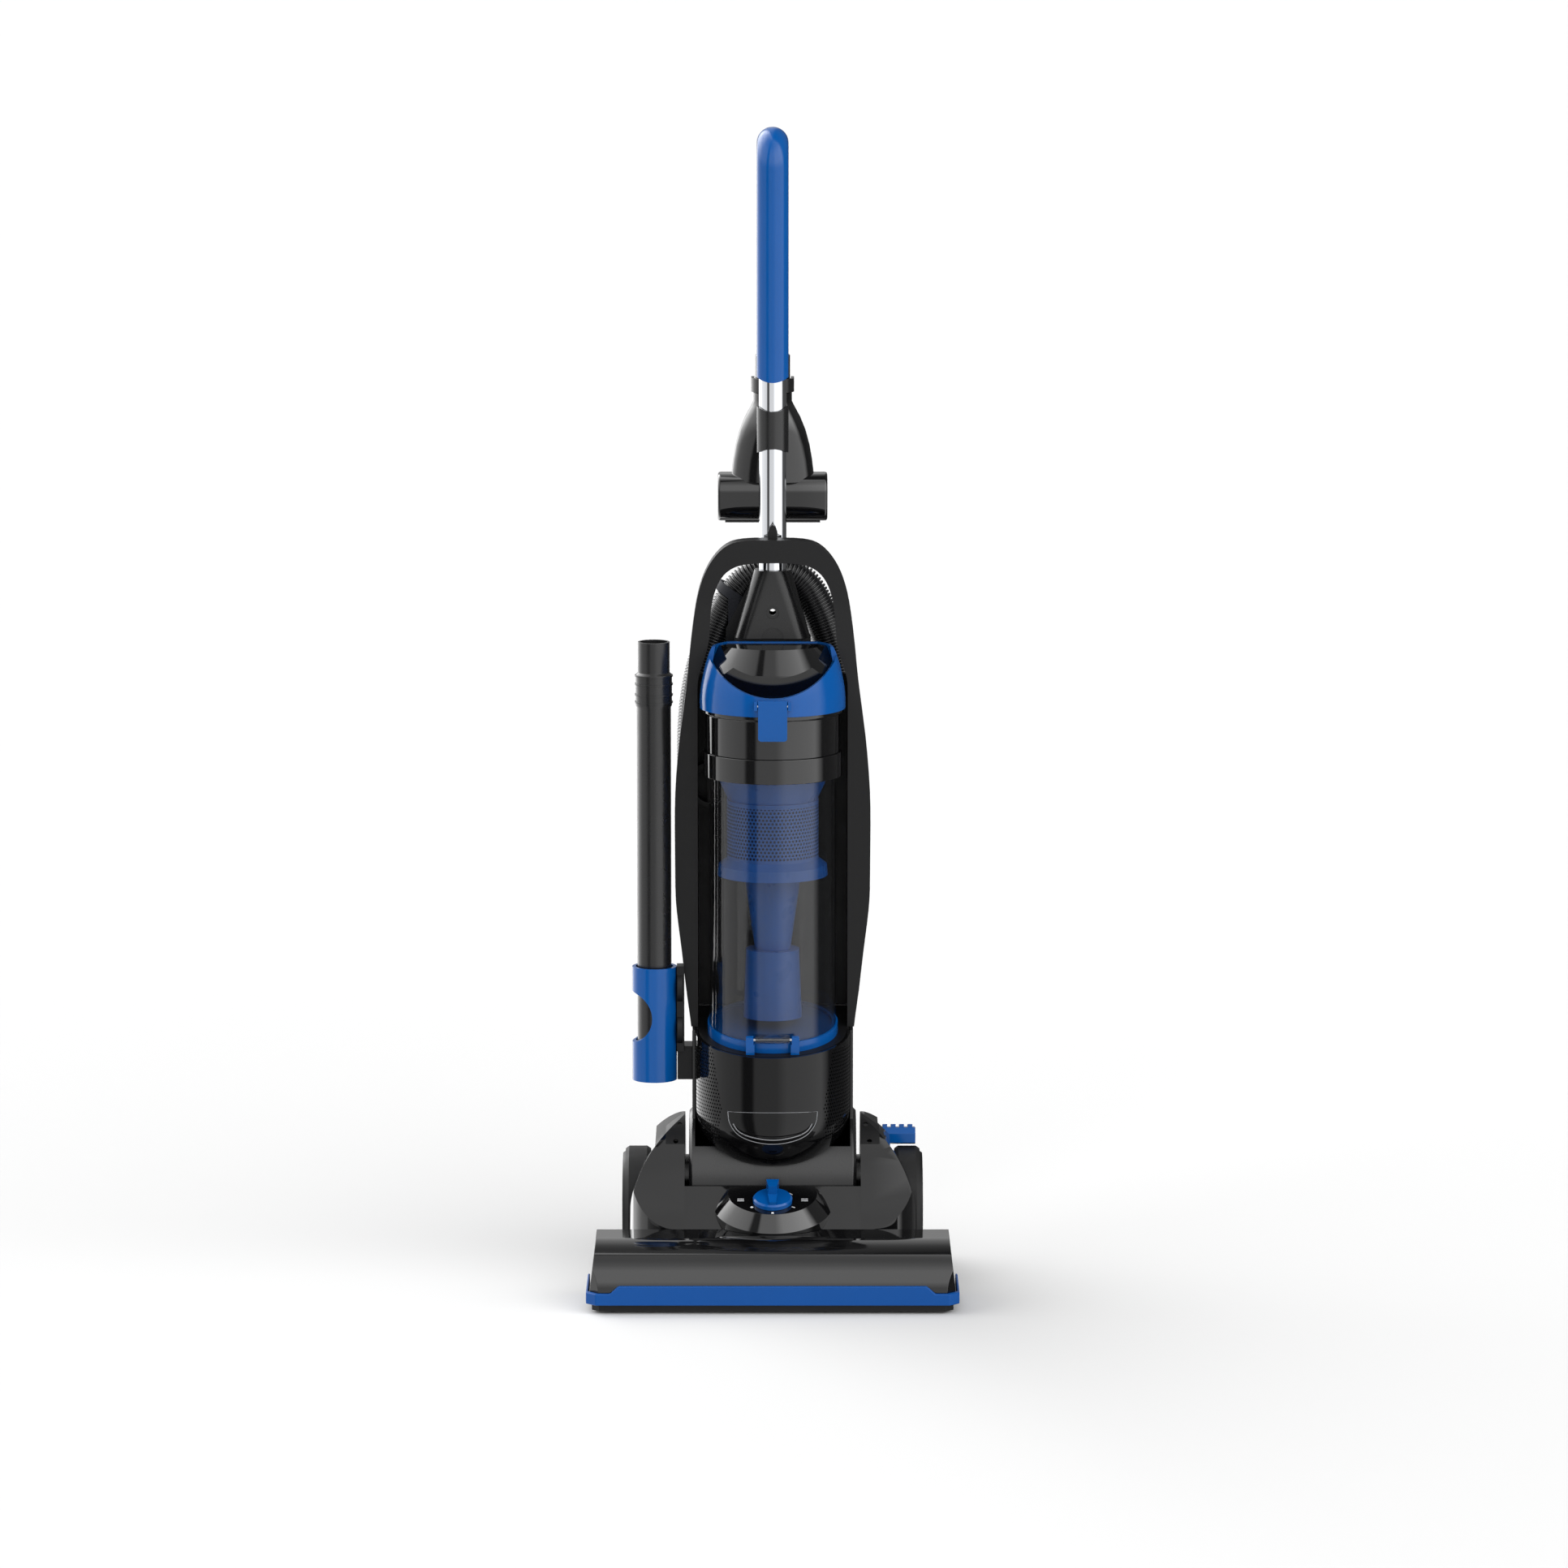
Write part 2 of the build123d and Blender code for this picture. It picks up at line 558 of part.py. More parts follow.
def make_spine_frame():
    """Back of the body: the arched carrying loop, the back panel and the hollow spine."""
    with BuildPart() as frame:
        with BuildSketch(Plane.XZ):
            add(frame_ring())
        extrude(amount=-130)
        with BuildSketch(Plane.YZ):
            Polygon((30, 224), (28, 540), (38, 640), (40, 704), (62, 704), (66, 640), (COLUMN_BACK, 570),
                    (COLUMN_BACK, 224), align=None)
        extrude(amount=100, both=True, mode=Mode.INTERSECT)
        add(seat_wedge(-0.0, -120), mode=Mode.SUBTRACT)
        with Locations(along_y(-58, 58, 463)):
            Cylinder(22.4, 58, mode=Mode.SUBTRACT)
        with Locations((0, COLUMN_BACK - 2, 408)):
            Box(2 * 71, 4, 318)
        with Locations((0, (COLUMN_BACK + SPINE_BACK) / 2, (150 + DUCT_TOP) / 2)):
            Box(2 * SPINE_HALF, SPINE_BACK - COLUMN_BACK, DUCT_TOP - 150)
        fillet(frame.edges().filter_by(Axis.Z).group_by(Axis.Y)[-1], 8)
        with Locations((0, (65 + SHELF_BACK) / 2, (558 + SPINE_TOP) / 2)):
            Box(2 * 36, SHELF_BACK - 65, SPINE_TOP - 558)
        with BuildSketch(Plane.XZ.offset(-92)):
            Polygon((-46, 556), (-44, 610), (-20, 655), (20, 655), (33, 610), (36, 556), align=None)
        extrude(amount=-1.4)
        with Locations((0, (COLUMN_BACK + SPINE_BACK) / 2, 355)):
            Box(2 * SPINE_HALF - 6, SPINE_BACK - COLUMN_BACK - 6, 400, mode=Mode.SUBTRACT)
        with BuildSketch(Plane.XZ.offset(-50)):
            Polygon((-4.5, ARCH_TOP - 6), (-4.5, 706), (-2.6, 711.5), (0, 713.5), (2.6, 711.5), (4.5, 706),
                    (4.5, ARCH_TOP - 6), align=None)
        extrude(amount=-11)
        with Locations((0, SPINE_BACK + 6, 300)):
            Box(14, 13, 12)
        with Locations((0, SPINE_BACK + 12.5, 290)):
            Box(14, 6, 36)
        with Locations((0, SPINE_BACK + 18, 272)):
            Box(14, 14, 6)
        with Locations((0, TUBE_Y, 592)):
            Cylinder(TUBE_R, 60, mode=Mode.SUBTRACT)
        with Locations(along_y(0, SHELF_BACK, 629)):
            Cylinder(3.2, 20, mode=Mode.SUBTRACT)
    save(frame, "spine_frame")


def make_socket():
    """Conical socket that takes the foot of the tube, with a cross hole."""
    with BuildPart() as socket:
        with BuildSketch(Plane.XY.offset(SPINE_TOP)):
            with Locations((0, TUBE_Y)):
                RectangleRounded(71, 36, 14)
        with BuildSketch(Plane.XY.offset(SOCKET_TOP)):
            with Locations((0, TUBE_Y)):
                RectangleRounded(34.6, 34.6, 17.2)
        loft()
        with Locations((0, 92 + 10, 640)):
            Box(90, 20, 100, mode=Mode.SUBTRACT)
        with Locations((0, TUBE_Y, 640)):
            Cylinder(TUBE_R, 100, mode=Mode.SUBTRACT)
        with Locations(along_y(0, TUBE_Y, 629)):
            Cylinder(3.2, 80, mode=Mode.SUBTRACT)
        with Locations(along_y(0, TUBE_Y - 18.5, 629)):
            Cylinder(6.2, 5, mode=Mode.SUBTRACT)
        with Locations(along_y(0, TUBE_Y - 18.4, SPINE_TOP)):
            Cylinder(10.5, 4, mode=Mode.SUBTRACT)
    save(socket, "tube_socket")
    with BuildPart() as tube:
        with Locations((0, TUBE_Y, (562 + 1020) / 2)):
            Cylinder(TUBE_R, 1020 - 562)
            Cylinder(TUBE_R - 1.2, 1020 - 562, mode=Mode.SUBTRACT)
        with Locations(along_y(0, TUBE_Y, 629)):
            Cylinder(3.2, 80, mode=Mode.SUBTRACT)
    save(tube, "handle_tube")


def handle_sweep(points, radius):
    """Round bar along a rounded route in the middle plane, as a private solid."""
    with BuildPart(mode=Mode.PRIVATE) as bar:
        with BuildLine():
            FilletPolyline(*[(0, y, z) for y, z in points], radius=radius)
        start = Plane(origin=(0, points[0][0], points[0][1]),
                      z_dir=(0, points[1][0] - points[0][0], points[1][1] - points[0][1]))
        with BuildSketch(start):
            Circle(GRIP_R)
        sweep()
    return bar.part


def make_handle():
    """Loop handle: a sleeve up the tube, a round bend back and a return strut."""
    back = 134.0
    with BuildPart() as handle:
        add(handle_sweep([(TUBE_Y, GRIP_LOW), (TUBE_Y, GRIP_TOP), (back, GRIP_TOP - 5), (back, 1010)], 24))
        add(handle_sweep([(back, 1030), (back, 1002), (TUBE_Y + 3, 930)], 20))
        with Locations((0, TUBE_Y, (GRIP_LOW + 1020) / 2)):
            Cylinder(TUBE_R, 1020 - GRIP_LOW, mode=Mode.SUBTRACT)
    save(handle, "loop_handle")


# ---- clipped-on tool -------------------------------------------------------
def make_tool_clip():
    """Sleeve on the tube with two jaws that hold the small brush tool behind it."""
    low, high = 779.0, 823.0
    with BuildPart() as clip:
        with Locations((0, TUBE_Y, (low + high) / 2)):
            Cylinder(GRIP_R, high - low)
        with Locations((0, 90.2, 825.5)):
            Box(16, 5, 40)
        with Locations((0, 94, 839)):
            Box(16, 8, 13)
        with Locations((0, TOOL_Y, 839)):
            Cylinder(20.3, 13)
        with Locations((0, TOOL_Y + 7, 839)):
            Box(40.6, 14, 13)
        with Locations((0, TUBE_Y, 812)):
            Cylinder(TUBE_R, 200, mode=Mode.SUBTRACT)
        with Locations((0, TOOL_Y, 838)):
            Cylinder(17.3, 40, mode=Mode.SUBTRACT)
        with Locations((0, TOOL_Y + 20, 838)):
            Box(34.6, 40, 22, mode=Mode.SUBTRACT)
    save(clip, "tool_clip")


def make_brush_tool():
    """Small turbine brush tool: neck, bell-shaped body and a wide head round a spinning brush."""
    low, top, half = 709.0, 755.0, 52.0
    roller_z, roller_y = 724.0, TOOL_Y + 2
    with BuildPart() as tool:
        with BuildSketch(Plane.XZ.offset(-TOOL_Y)):
            with BuildLine():
                Polyline((0, 868), (16.5, 868), (16.5, 832), (18.5, 830), (18.5, 822))
                Spline((18.5, 822), (33, 800), (38, 768), (40, 750), tangents=[(1, -0.5), (0.1, -1)])
                Polyline((40, 750), (0, 750), (0, 868))
            make_face()
        revolve(axis=Axis((0, TOOL_Y, 0), (0, 0, 1)))
        with Locations((0, TOOL_Y - 50, 800)):
            Box(200, 50, 220, mode=Mode.SUBTRACT)
        with Locations((0, TOOL_Y + 53, 780)):
            Box(200, 50, 220, mode=Mode.SUBTRACT)
        with Locations((0, TOOL_Y + 1.5, (low + top) / 2)):
            Box(2 * half, 49, top - low)
        with Locations((0, TOOL_Y, 820)):
            Cylinder(14, 120, mode=Mode.SUBTRACT)
        with Locations(along_x(0, roller_y, roller_z)):
            Cylinder(19.5, 2 * half - 8, mode=Mode.SUBTRACT)
            Cylinder(3 + FIT, 2 * half + 2, mode=Mode.SUBTRACT)
        with Locations((0, roller_y, low)):
            Box(2 * half - 8, 30, 20, mode=Mode.SUBTRACT)
    save(tool, "brush_tool")
    with BuildPart() as roller:
        with Locations(along_x(0, roller_y, roller_z)):
            Cylinder(13, 2 * half - 10)
            Cylinder(3, 2 * half - 0.4)
        for turn in range(6):
            with Locations(Location((0, roller_y, roller_z), (60 * turn + 30, 0, 0))):
                with Locations((0, 0, 14)):
                    Box(2 * half - 14, 3, 7)
    save(roller, "tool_roller")


# ---- wand and holder -------------------------------------------------------
def make_wand():
    """Straight suction tube with a stepped collar, open at both ends."""
    with BuildPart() as wand:
        with BuildSketch(Plane.XZ.offset(-WAND_Y)):
            Polygon((14, WAND_LOW), (WAND_R, WAND_LOW), (WAND_R, 545), (17, 547), (17, 576), (14.9, 578),
                    (14.9, WAND_TOP), (13, WAND_TOP), (13, 574), (14, 572), align=None)
            for z in (550, 557, 567, 575):
                with Locations((17.2, z)):
                    Rectangle(1.4, 1.6)
        revolve(axis=Axis((0, WAND_Y, 0), (0, 0, 1)))
    with BuildPart() as placed:
        add(Location((WAND_X, 0, 0)) * wand.part)
    save(placed, "wand_tube")


def make_holder():
    """Cup that holds the foot of the wand, with a scooped window, and its bracket."""
    middle = (HOLDER_LOW + HOLDER_TOP) / 2
    with BuildPart() as holder:
        with Locations((WAND_X, WAND_Y, middle)):
            Cylinder(HOLDER_R, HOLDER_TOP - HOLDER_LOW)
        with Locations((WAND_X, WAND_Y, middle + 8)):
            Cylinder(HOLDER_BORE, HOLDER_TOP - HOLDER_LOW, mode=Mode.SUBTRACT)
        with Locations(along_y(WAND_X - 27, WAND_Y, 250.5)):
            Cylinder(25, 60, mode=Mode.SUBTRACT)
    save(holder, "wand_holder")
    with BuildPart() as bracket:
        with Locations((-83, 32, 205)):
            Box(14, 26, 32)
        with Locations((-87, 20, 258)):
            Box(7, 16, 82)
        for z in (238, 278):
            with Locations(along_x(-87.4, 20, z)):
                Cylinder(15, 5)
        with Locations((WAND_X, WAND_Y, 250)):
            Cylinder(HOLDER_R, 200, mode=Mode.SUBTRACT)
        with Locations((0, 50, 300)):
            Box(2 * 78.6, 200, 156, mode=Mode.SUBTRACT)
    save(bracket, "holder_bracket")


# ---- dust bin --------------------------------------------------------------
def make_bin_door():
    """Hinged bottom door with two lugs at the front, and its pin."""
    with BuildPart() as door:
        with BuildSketch(seat_plane(0.1)):
            Circle(BIN_R + 1.5)
        extrude(amount=DOOR_T - 3)
        with BuildSketch(seat_plane(0.1)):
            Circle(BIN_R + 1.5)
            Circle(BIN_R - 4, mode=Mode.SUBTRACT)
        extrude(amount=DOOR_T - 0.2)
        with BuildSketch(seat_plane(0.1)):
            with Locations((-21, -BIN_R - 1), (21, -BIN_R - 1)):
                Rectangle(8, 8)
        extrude(amount=DOOR_T + 7)
        with BuildSketch(seat_plane(DOOR_T)):
            with Locations((0, -BIN_R + 2)):
                Rectangle(36, 14)
            with Locations((-21, -BIN_R + 4), (21, -BIN_R + 4)):
                Rectangle(9, 2 * 3.6)
        extrude(amount=20, mode=Mode.SUBTRACT)
    pin_place = seat_plane(DOOR_T + 4) * Location((0, -BIN_R - 2, 0), (0, 90, 0))
    with BuildPart() as hinged:
        add(door.part)
        with Locations(pin_place):
            Cylinder(1.5 + FIT, 80, mode=Mode.SUBTRACT)
    save(hinged, "bin_door")
    with BuildPart() as pin:
        with Locations(pin_place):
            Cylinder(1.5, 50)
    save(pin, "door_pin")
    return pin_place


def make_bin_cup(pin_place):
    """Clear cup, open at the bottom, with the hinge block moulded on its front."""
    with BuildPart() as cup:
        with Locations((0, BIN_Y, 350)):
            Cylinder(BIN_R, 2 * (BIN_TOP - 350))
            Cylinder(BIN_R - 2.5, 2 * (BIN_TOP - 350), mode=Mode.SUBTRACT)
        with BuildSketch(seat_plane(DOOR_T + 1.4)):
            with Locations((0, -BIN_R - 0.8)):
                Rectangle(32, 6.2)
        extrude(amount=6.4)
        with Locations(pin_place):
            Cylinder(1.5, 80, mode=Mode.SUBTRACT)
        with BuildPart(seat_plane(DOOR_T), mode=Mode.PRIVATE) as under:
            Box(400, 400, 200, align=(Align.CENTER, Align.CENTER, Align.MAX))
        add(under.part, mode=Mode.SUBTRACT)
        with Locations(along_y(-58, 62, 463)):
            Cylinder(14, 50, mode=Mode.SUBTRACT)
    save(cup, "bin_cup")


def ring_piece(profile, label):
    """A turned piece about the bin's axis from (radius, height) points."""
    with BuildPart() as piece:
        with BuildSketch(Plane.XZ.offset(-BIN_Y)):
            Polygon(*profile, align=None)
        revolve(axis=Axis((0, BIN_Y, 0), (0, 0, 1)))
    save(piece, label)


def make_bin_stack():
    """Ring, filter housing, pleated filter, shroud, cyclone cone and inner cup."""
    ring_piece([(BIN_R + 0.0, 481), (65, 481), (65, RING_TOP), (55, RING_TOP), (55, BIN_TOP), (BIN_R, BIN_TOP)],
               "bin_ring")
    ring_piece([(55, RING_TOP), (63, RING_TOP), (63, 540), (66, 541.5), (66, LID_Z), (60, LID_Z),
                (60, RING_TOP + 4), (55, RING_TOP + 4)], "filter_housing")
    ring_piece([(12, RING_TOP + 4), (58, RING_TOP + 4), (58, 540), (12, 540)], "foam_filter")
    ring_piece([(22, 458), (42, 458), (54.9, 485), (54.9, RING_TOP + 3.9), (50, RING_TOP + 3.9), (50, 488),
                (40, 462), (22, 462)], "outlet_funnel")
    ring_piece([(41, 457.9), (43.2, 457.9), (43.2, 402), (51, 396), (52, 386), (50, 386), (48.5, 394),
                (40.5, 400)], "shroud")
    ring_piece([(20, 457.9), (38, 457.9), (26.8, 386), (16.8, 315), (15, 315), (24.8, 386), (36, 455.9),
                (20, 455.9)], "cyclone_cone")
    ring_piece([(17, 314.9), (25, 314.9), (27.6, 250), (25.6, 250), (23.2, 312.9), (17, 312.9)], "fines_cup")


def lid_pocket(radius):
    """Round tapering pocket inside the lid, flat at the back."""
    with BuildPart(mode=Mode.PRIVATE) as pocket:
        with Locations((0, BIN_Y, 582)):
            Cone(radius, radius - 9.5, 60)
        with Locations((0, LID_BACK + 46, 582)):
            Box(200, 100, 60, mode=Mode.SUBTRACT)
    return pocket.part


def make_lid():
    """Blue lid with a crescent hand hold, its dark insert and the front latch."""
    with BuildPart() as body:
        with BuildSketch(Plane.XZ.offset(-BIN_Y)):
            with BuildLine():
                Polyline((0, LID_Z + 0.1), (LID_R, LID_Z + 0.1), (LID_R, LID_Z + 5))
                Spline((LID_R, LID_Z + 5), (66, LID_Z + 28), (57, LID_TOP), tangents=[(0, 1), (-0.5, 1)])
                Polyline((57, LID_TOP), (0, LID_TOP), (0, LID_Z + 0.1))
            make_face()
        revolve(axis=Axis((0, BIN_Y, 0), (0, 0, 1)))
        with Locations((0, LID_BACK + 25, 570)):
            Box(200, 50, 100, mode=Mode.SUBTRACT)
    with BuildPart() as lid:
        add(body.part)
        with BuildSketch(Plane.XZ.offset(-BIN_Y + 1)):
            with BuildLine():
                ThreePointArc((-61, 596), (0, 562), (61, 596))
                Polyline((61, 596), (61, 610), (-61, 610), (-61, 596))
            make_face()
        extrude(amount=LID_BACK + 60, mode=Mode.SUBTRACT)
        add(lid_pocket(62), mode=Mode.SUBTRACT)
        for side in (-1, 1):
            with Locations((side * 15.8, LATCH_Y + 3.5, LATCH_Z)):
                Box(3, 9, 8)
        with Locations(along_x(0, LATCH_Y + 0.5, LATCH_Z)):
            Cylinder(1.2, 60, mode=Mode.SUBTRACT)
        with Locations((0, BIN_Y, LID_Z)):
            Cylinder(54, 8, mode=Mode.SUBTRACT)
    save(lid, "bin_lid")
    with BuildPart() as insert:
        with Locations((0, 57, 565.5)):
            Cylinder(71, 27)
        with Locations((0, 57, 590)):
            Cone(71, 53, 22)
        with Locations((0, LID_BACK + 45.9, 580)):
            Box(200, 100, 80, mode=Mode.SUBTRACT)
        with BuildSketch(Plane.XZ.offset(-2)):
            with BuildLine():
                ThreePointArc((-58, 598), (0, 577), (58, 598))
                Polyline((58, 598), (58, 540), (-58, 540), (-58, 598))
            make_face()
        extrude(amount=60, mode=Mode.SUBTRACT)
        add(lid_pocket(61.8), mode=Mode.INTERSECT)
    save(insert, "lid_insert")


LATCH_Y, LATCH_Z = -51.5, 556.0


def make_latch():
    """Front latch button that hooks the lid to the filter housing, and its pin."""
    with BuildPart() as latch:
        with BuildSketch(Plane.YZ.offset(-13.5)):
            Polygon((LATCH_Y - 1.5, 561), (LATCH_Y - 1.5, 528), (LATCH_Y - 0.5, 523), (LATCH_Y + 4, 523),
                    (LATCH_Y + 5, 527), (LATCH_Y + 1.6, 531), (LATCH_Y + 1.6, 552), (LATCH_Y + 2.6, 556),
                    (LATCH_Y + 1.6, 561), align=None)
        extrude(amount=27)
        with Locations(along_x(0, LATCH_Y + 0.5, LATCH_Z)):
            Cylinder(1.2 + FIT, 60, mode=Mode.SUBTRACT)
        fillet(latch.edges().filter_by(Axis.Y).group_by(Axis.Z)[0], 3)
    save(latch, "lid_latch")
    with BuildPart() as pin:
        with Locations(along_x(0, LATCH_Y + 0.5, LATCH_Z)):
            Cylinder(1.2, 34)
    save(pin, "latch_pin")


# ---- motor -----------------------------------------------------------------
def make_motor():
    """Motor case with its mounting flange, the rotor with shaft and pulley, and the fan."""
    with BuildPart() as case:
        with Locations(along_x(0, PIVOT_Y, PIVOT_Z)):
            Cylinder(46, 104)
            Cylinder(63.9, 8)
            Cylinder(42, 96, mode=Mode.SUBTRACT)
            Cylinder(4 + FIT, 120, mode=Mode.SUBTRACT)
    save(case, "motor_case")
    with BuildPart() as rotor:
        with Locations(along_x((-60 + BELT_X + 7) / 2, PIVOT_Y, PIVOT_Z)):
            Cylinder(4, BELT_X + 7 + 60)
        with Locations(along_x(10, PIVOT_Y, PIVOT_Z)):
            Cylinder(22, 50)
        with Locations(along_x(BELT_X, PIVOT_Y, PIVOT_Z)):
            Cylinder(BELT_SMALL, BELT_W + 3)
    save(rotor, "motor_rotor")
    with BuildPart() as fan:
        with Locations(along_x(-40, PIVOT_Y, PIVOT_Z)):
            Cylinder(36, 2)
        with Locations(along_x(-35, PIVOT_Y, PIVOT_Z)):
            Cylinder(8, 12)
        for turn in range(7):
            with Locations(Location((-35, PIVOT_Y, PIVOT_Z), (360 / 7 * turn, 0, 0))):
                with Locations((0, 0, 21)):
                    Box(10, 2, 28)
        with Locations(along_x(-35, PIVOT_Y, PIVOT_Z)):
            Cylinder(4, 40, mode=Mode.SUBTRACT)
    save(fan, "motor_fan")


def make_exhaust_filter():
    """Curved exhaust filter behind the vents of the front cover."""
    with BuildPart() as pad:
        with BuildSketch(Plane.XY.offset(168)):
            with Locations((0, BIN_Y)):
                Circle(COVER_R - 2.7)
                Circle(COVER_R - 10, mode=Mode.SUBTRACT)
            with Locations((0, BIN_Y + 49)):
                Rectangle(200, 100, mode=Mode.SUBTRACT)
        extrude(amount=46)
    save(pad, "exhaust_filter")


# ---- hose and rear fittings ------------------------------------------------
HOSE_POINTS = [(-54.5, 237), (-59, 330), (-73, 430), (-74, 542), (-50, 614), (-21, 658), (22, 661), (50, 614),
               (67, 540), (71, 430), (59, 330), (54.5, 237)]


def hose_radii():
    """Bend radius at each inner point of the route, as large as the shorter run allows."""
    radii = []
    for before, here, after in zip(HOSE_POINTS, HOSE_POINTS[1:], HOSE_POINTS[2:]):
        first = (here[0] - before[0], here[1] - before[1])
        second = (after[0] - here[0], after[1] - here[1])
        turn = abs(atan2(first[0] * second[1] - first[1] * second[0],
                         first[0] * second[0] + first[1] * second[1]))
        shorter = min((first[0] ** 2 + first[1] ** 2) ** 0.5, (second[0] ** 2 + second[1] ** 2) ** 0.5)
        radii.append(0.45 * shorter / tan(turn / 2))
    return radii


def make_hose():
    """Ribbed stretch hose looped over the back of the body, as one plain hollow tube."""
    radii = hose_radii()
    with BuildPart() as hose:
        with BuildLine() as route:
            FilletPolyline(*[(x, HOSE_Y, z) for x, z in HOSE_POINTS], radius=radii)
        first, second = HOSE_POINTS[0], HOSE_POINTS[1]
        start = Plane(origin=(first[0], HOSE_Y, first[1]), z_dir=(second[0] - first[0], 0, second[1] - first[1]))
        with BuildSketch(start):
            Circle(HOSE_R)
            Circle(HOSE_R - 2.5, mode=Mode.SUBTRACT)
        sweep()
    length = sum(edge.length for edge in route.line.edges())
    print("hose radii", [round(value, 1) for value in radii], "length", round(length, 1))
    print("hose volume", round(hose.part.volume), "section x length",
          round(3.14159265 * (HOSE_R ** 2 - (HOSE_R - 2.5) ** 2) * length))
    save(hose, "hose")


def make_hose_cuffs():
    """The two elbows that carry the hose ends into the ports of the column."""
    for side, name in ((-1, "left"), (1, "right")):
        with BuildPart() as cuff:
            with Locations((side * CUFF_X, HOSE_Y, (CUFF_LOW + CUFF_TOP) / 2)):
                Cylinder(CUFF_R, CUFF_TOP - CUFF_LOW)
            with Locations(along_y(side * PORT_X, 99, PORT_Z)):
                Cylinder(PORT_R - 0.1, 26)
            with Locations((side * CUFF_X, HOSE_Y, (CUFF_LOW + CUFF_TOP) / 2 + 4)):
                Cylinder(15.5, CUFF_TOP - CUFF_LOW, mode=Mode.SUBTRACT)
            with Locations(along_y(side * PORT_X, 98, PORT_Z)):
                Cylinder(10, 30, mode=Mode.SUBTRACT)
        save(cuff, f"hose_cuff_{name}")


def make_rear_fittings():
    """Inlet ring beside the bin, the hose strap, the swivelling cord hook and the gland."""
    with BuildPart() as inlet:
        with Locations(along_y(-58, 78, 463)):
            Cylinder(22, 17.6)
            Cylinder(17, 17.6, mode=Mode.SUBTRACT)
        with Locations((-60, 76, 463)):
            Box(4, 8, 36)
        with Locations((0, BIN_Y, 463)):
            Cylinder(BIN_R + 0.6, 80, mode=Mode.SUBTRACT)
    save(inlet, "inlet_ring")
    with BuildPart() as strap:
        place = Location((-34.3, HOSE_Y, 637.9), (0, 33.4, 0))
        with Locations(place):
            Cylinder(HOSE_R + 3, 9)
        with Locations((-37, 94.75, 618)):
            Box(10, 2.7, 40)
        with Locations(place):
            Cylinder(HOSE_R + GAP, 60, mode=Mode.SUBTRACT)
    save(strap, "hose_strap")
    with BuildPart() as upper:
        with Locations(along_y(0, SPINE_BACK + 5, 520)):
            Cylinder(7, 9.4)
        with Locations((0, SPINE_BACK + 12.5, 534)):
            Box(14, 6, 42)
        with Locations((0, SPINE_BACK + 18, 552)):
            Box(14, 14, 6)
    save(upper, "cord_hook_upper")
    with BuildPart() as gland:
        with Locations(along_y(14, SPINE_BACK + 6, 178)):
            Cylinder(7, 12)
            Cylinder(3.2, 12, mode=Mode.SUBTRACT)
    save(gland, "cord_gland")


if __name__ == "__main__":
    make_motor()
    make_exhaust_filter()
    make_hose()
    make_hose_cuffs()
    make_rear_fittings()
    make_nozzle_cover()
    make_bumper()
    make_soleplate()
    make_rollers()
    make_head_shell()
    make_trunnion_caps()
    make_dial_pod()
    make_height_knob()
    make_brush()
    make_belt()
    make_wheels()
    make_pedal()
    make_barrel()
    make_front_cover()
    make_seat()
    make_spine_frame()
    make_socket()
    make_handle()
    make_tool_clip()
    make_brush_tool()
    make_wand()
    make_holder()
    make_bin_cup(make_bin_door())
    make_bin_stack()
    make_lid()
    make_latch()
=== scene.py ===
"""Looks of the upright vacuum cleaner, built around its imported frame. Lengths are in metres."""

import json
import math

import bmesh
import bpy
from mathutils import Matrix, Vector

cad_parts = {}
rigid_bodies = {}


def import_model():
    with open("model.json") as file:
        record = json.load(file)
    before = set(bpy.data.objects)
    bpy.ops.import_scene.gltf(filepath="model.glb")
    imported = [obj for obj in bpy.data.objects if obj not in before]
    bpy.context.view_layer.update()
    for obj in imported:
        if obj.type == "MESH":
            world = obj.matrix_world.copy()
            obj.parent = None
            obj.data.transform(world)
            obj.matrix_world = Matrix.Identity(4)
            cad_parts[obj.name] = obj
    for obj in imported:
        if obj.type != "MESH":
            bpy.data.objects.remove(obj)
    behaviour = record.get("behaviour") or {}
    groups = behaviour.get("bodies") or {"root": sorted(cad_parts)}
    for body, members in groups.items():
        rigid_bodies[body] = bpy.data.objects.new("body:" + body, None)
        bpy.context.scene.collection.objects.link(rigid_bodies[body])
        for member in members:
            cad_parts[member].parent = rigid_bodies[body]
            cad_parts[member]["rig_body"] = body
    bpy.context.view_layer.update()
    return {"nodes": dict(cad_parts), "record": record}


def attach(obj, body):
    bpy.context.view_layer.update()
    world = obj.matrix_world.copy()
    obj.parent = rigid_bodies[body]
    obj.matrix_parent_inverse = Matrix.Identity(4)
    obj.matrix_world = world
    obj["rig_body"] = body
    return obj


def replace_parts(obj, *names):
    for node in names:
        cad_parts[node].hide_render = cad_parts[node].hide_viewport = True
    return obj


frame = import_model()
NODES = frame["nodes"]
SLOTS = {part["node"]: part["material_slot"] for part in frame["record"]["subparts"]}
SCENE = bpy.context.scene

# Sizes shared with the part, in metres.
BIN_Y = 0.020
COVER_R = 0.073
HOSE_R = 0.018
HOSE_Y = 0.1145
TUBE_Y = 0.078
TOOL_Y = 0.118
DIAL_Y, DIAL_Z, DIAL_TILT = -0.055, 0.087, 16.0

# Edges that turn by more than this many degrees stay crisp and get a rounding.
CREASE = 35


# ---- colours and nodes -----------------------------------------------------
def linear(code):
    """An sRGB hex colour as the linear values that a shader takes."""
    values = []
    for start in (1, 3, 5):
        part = int(code[start:start + 2], 16) / 255
        values.append(part / 12.92 if part <= 0.04045 else ((part + 0.055) / 1.055) ** 2.4)
    return (*values, 1.0)


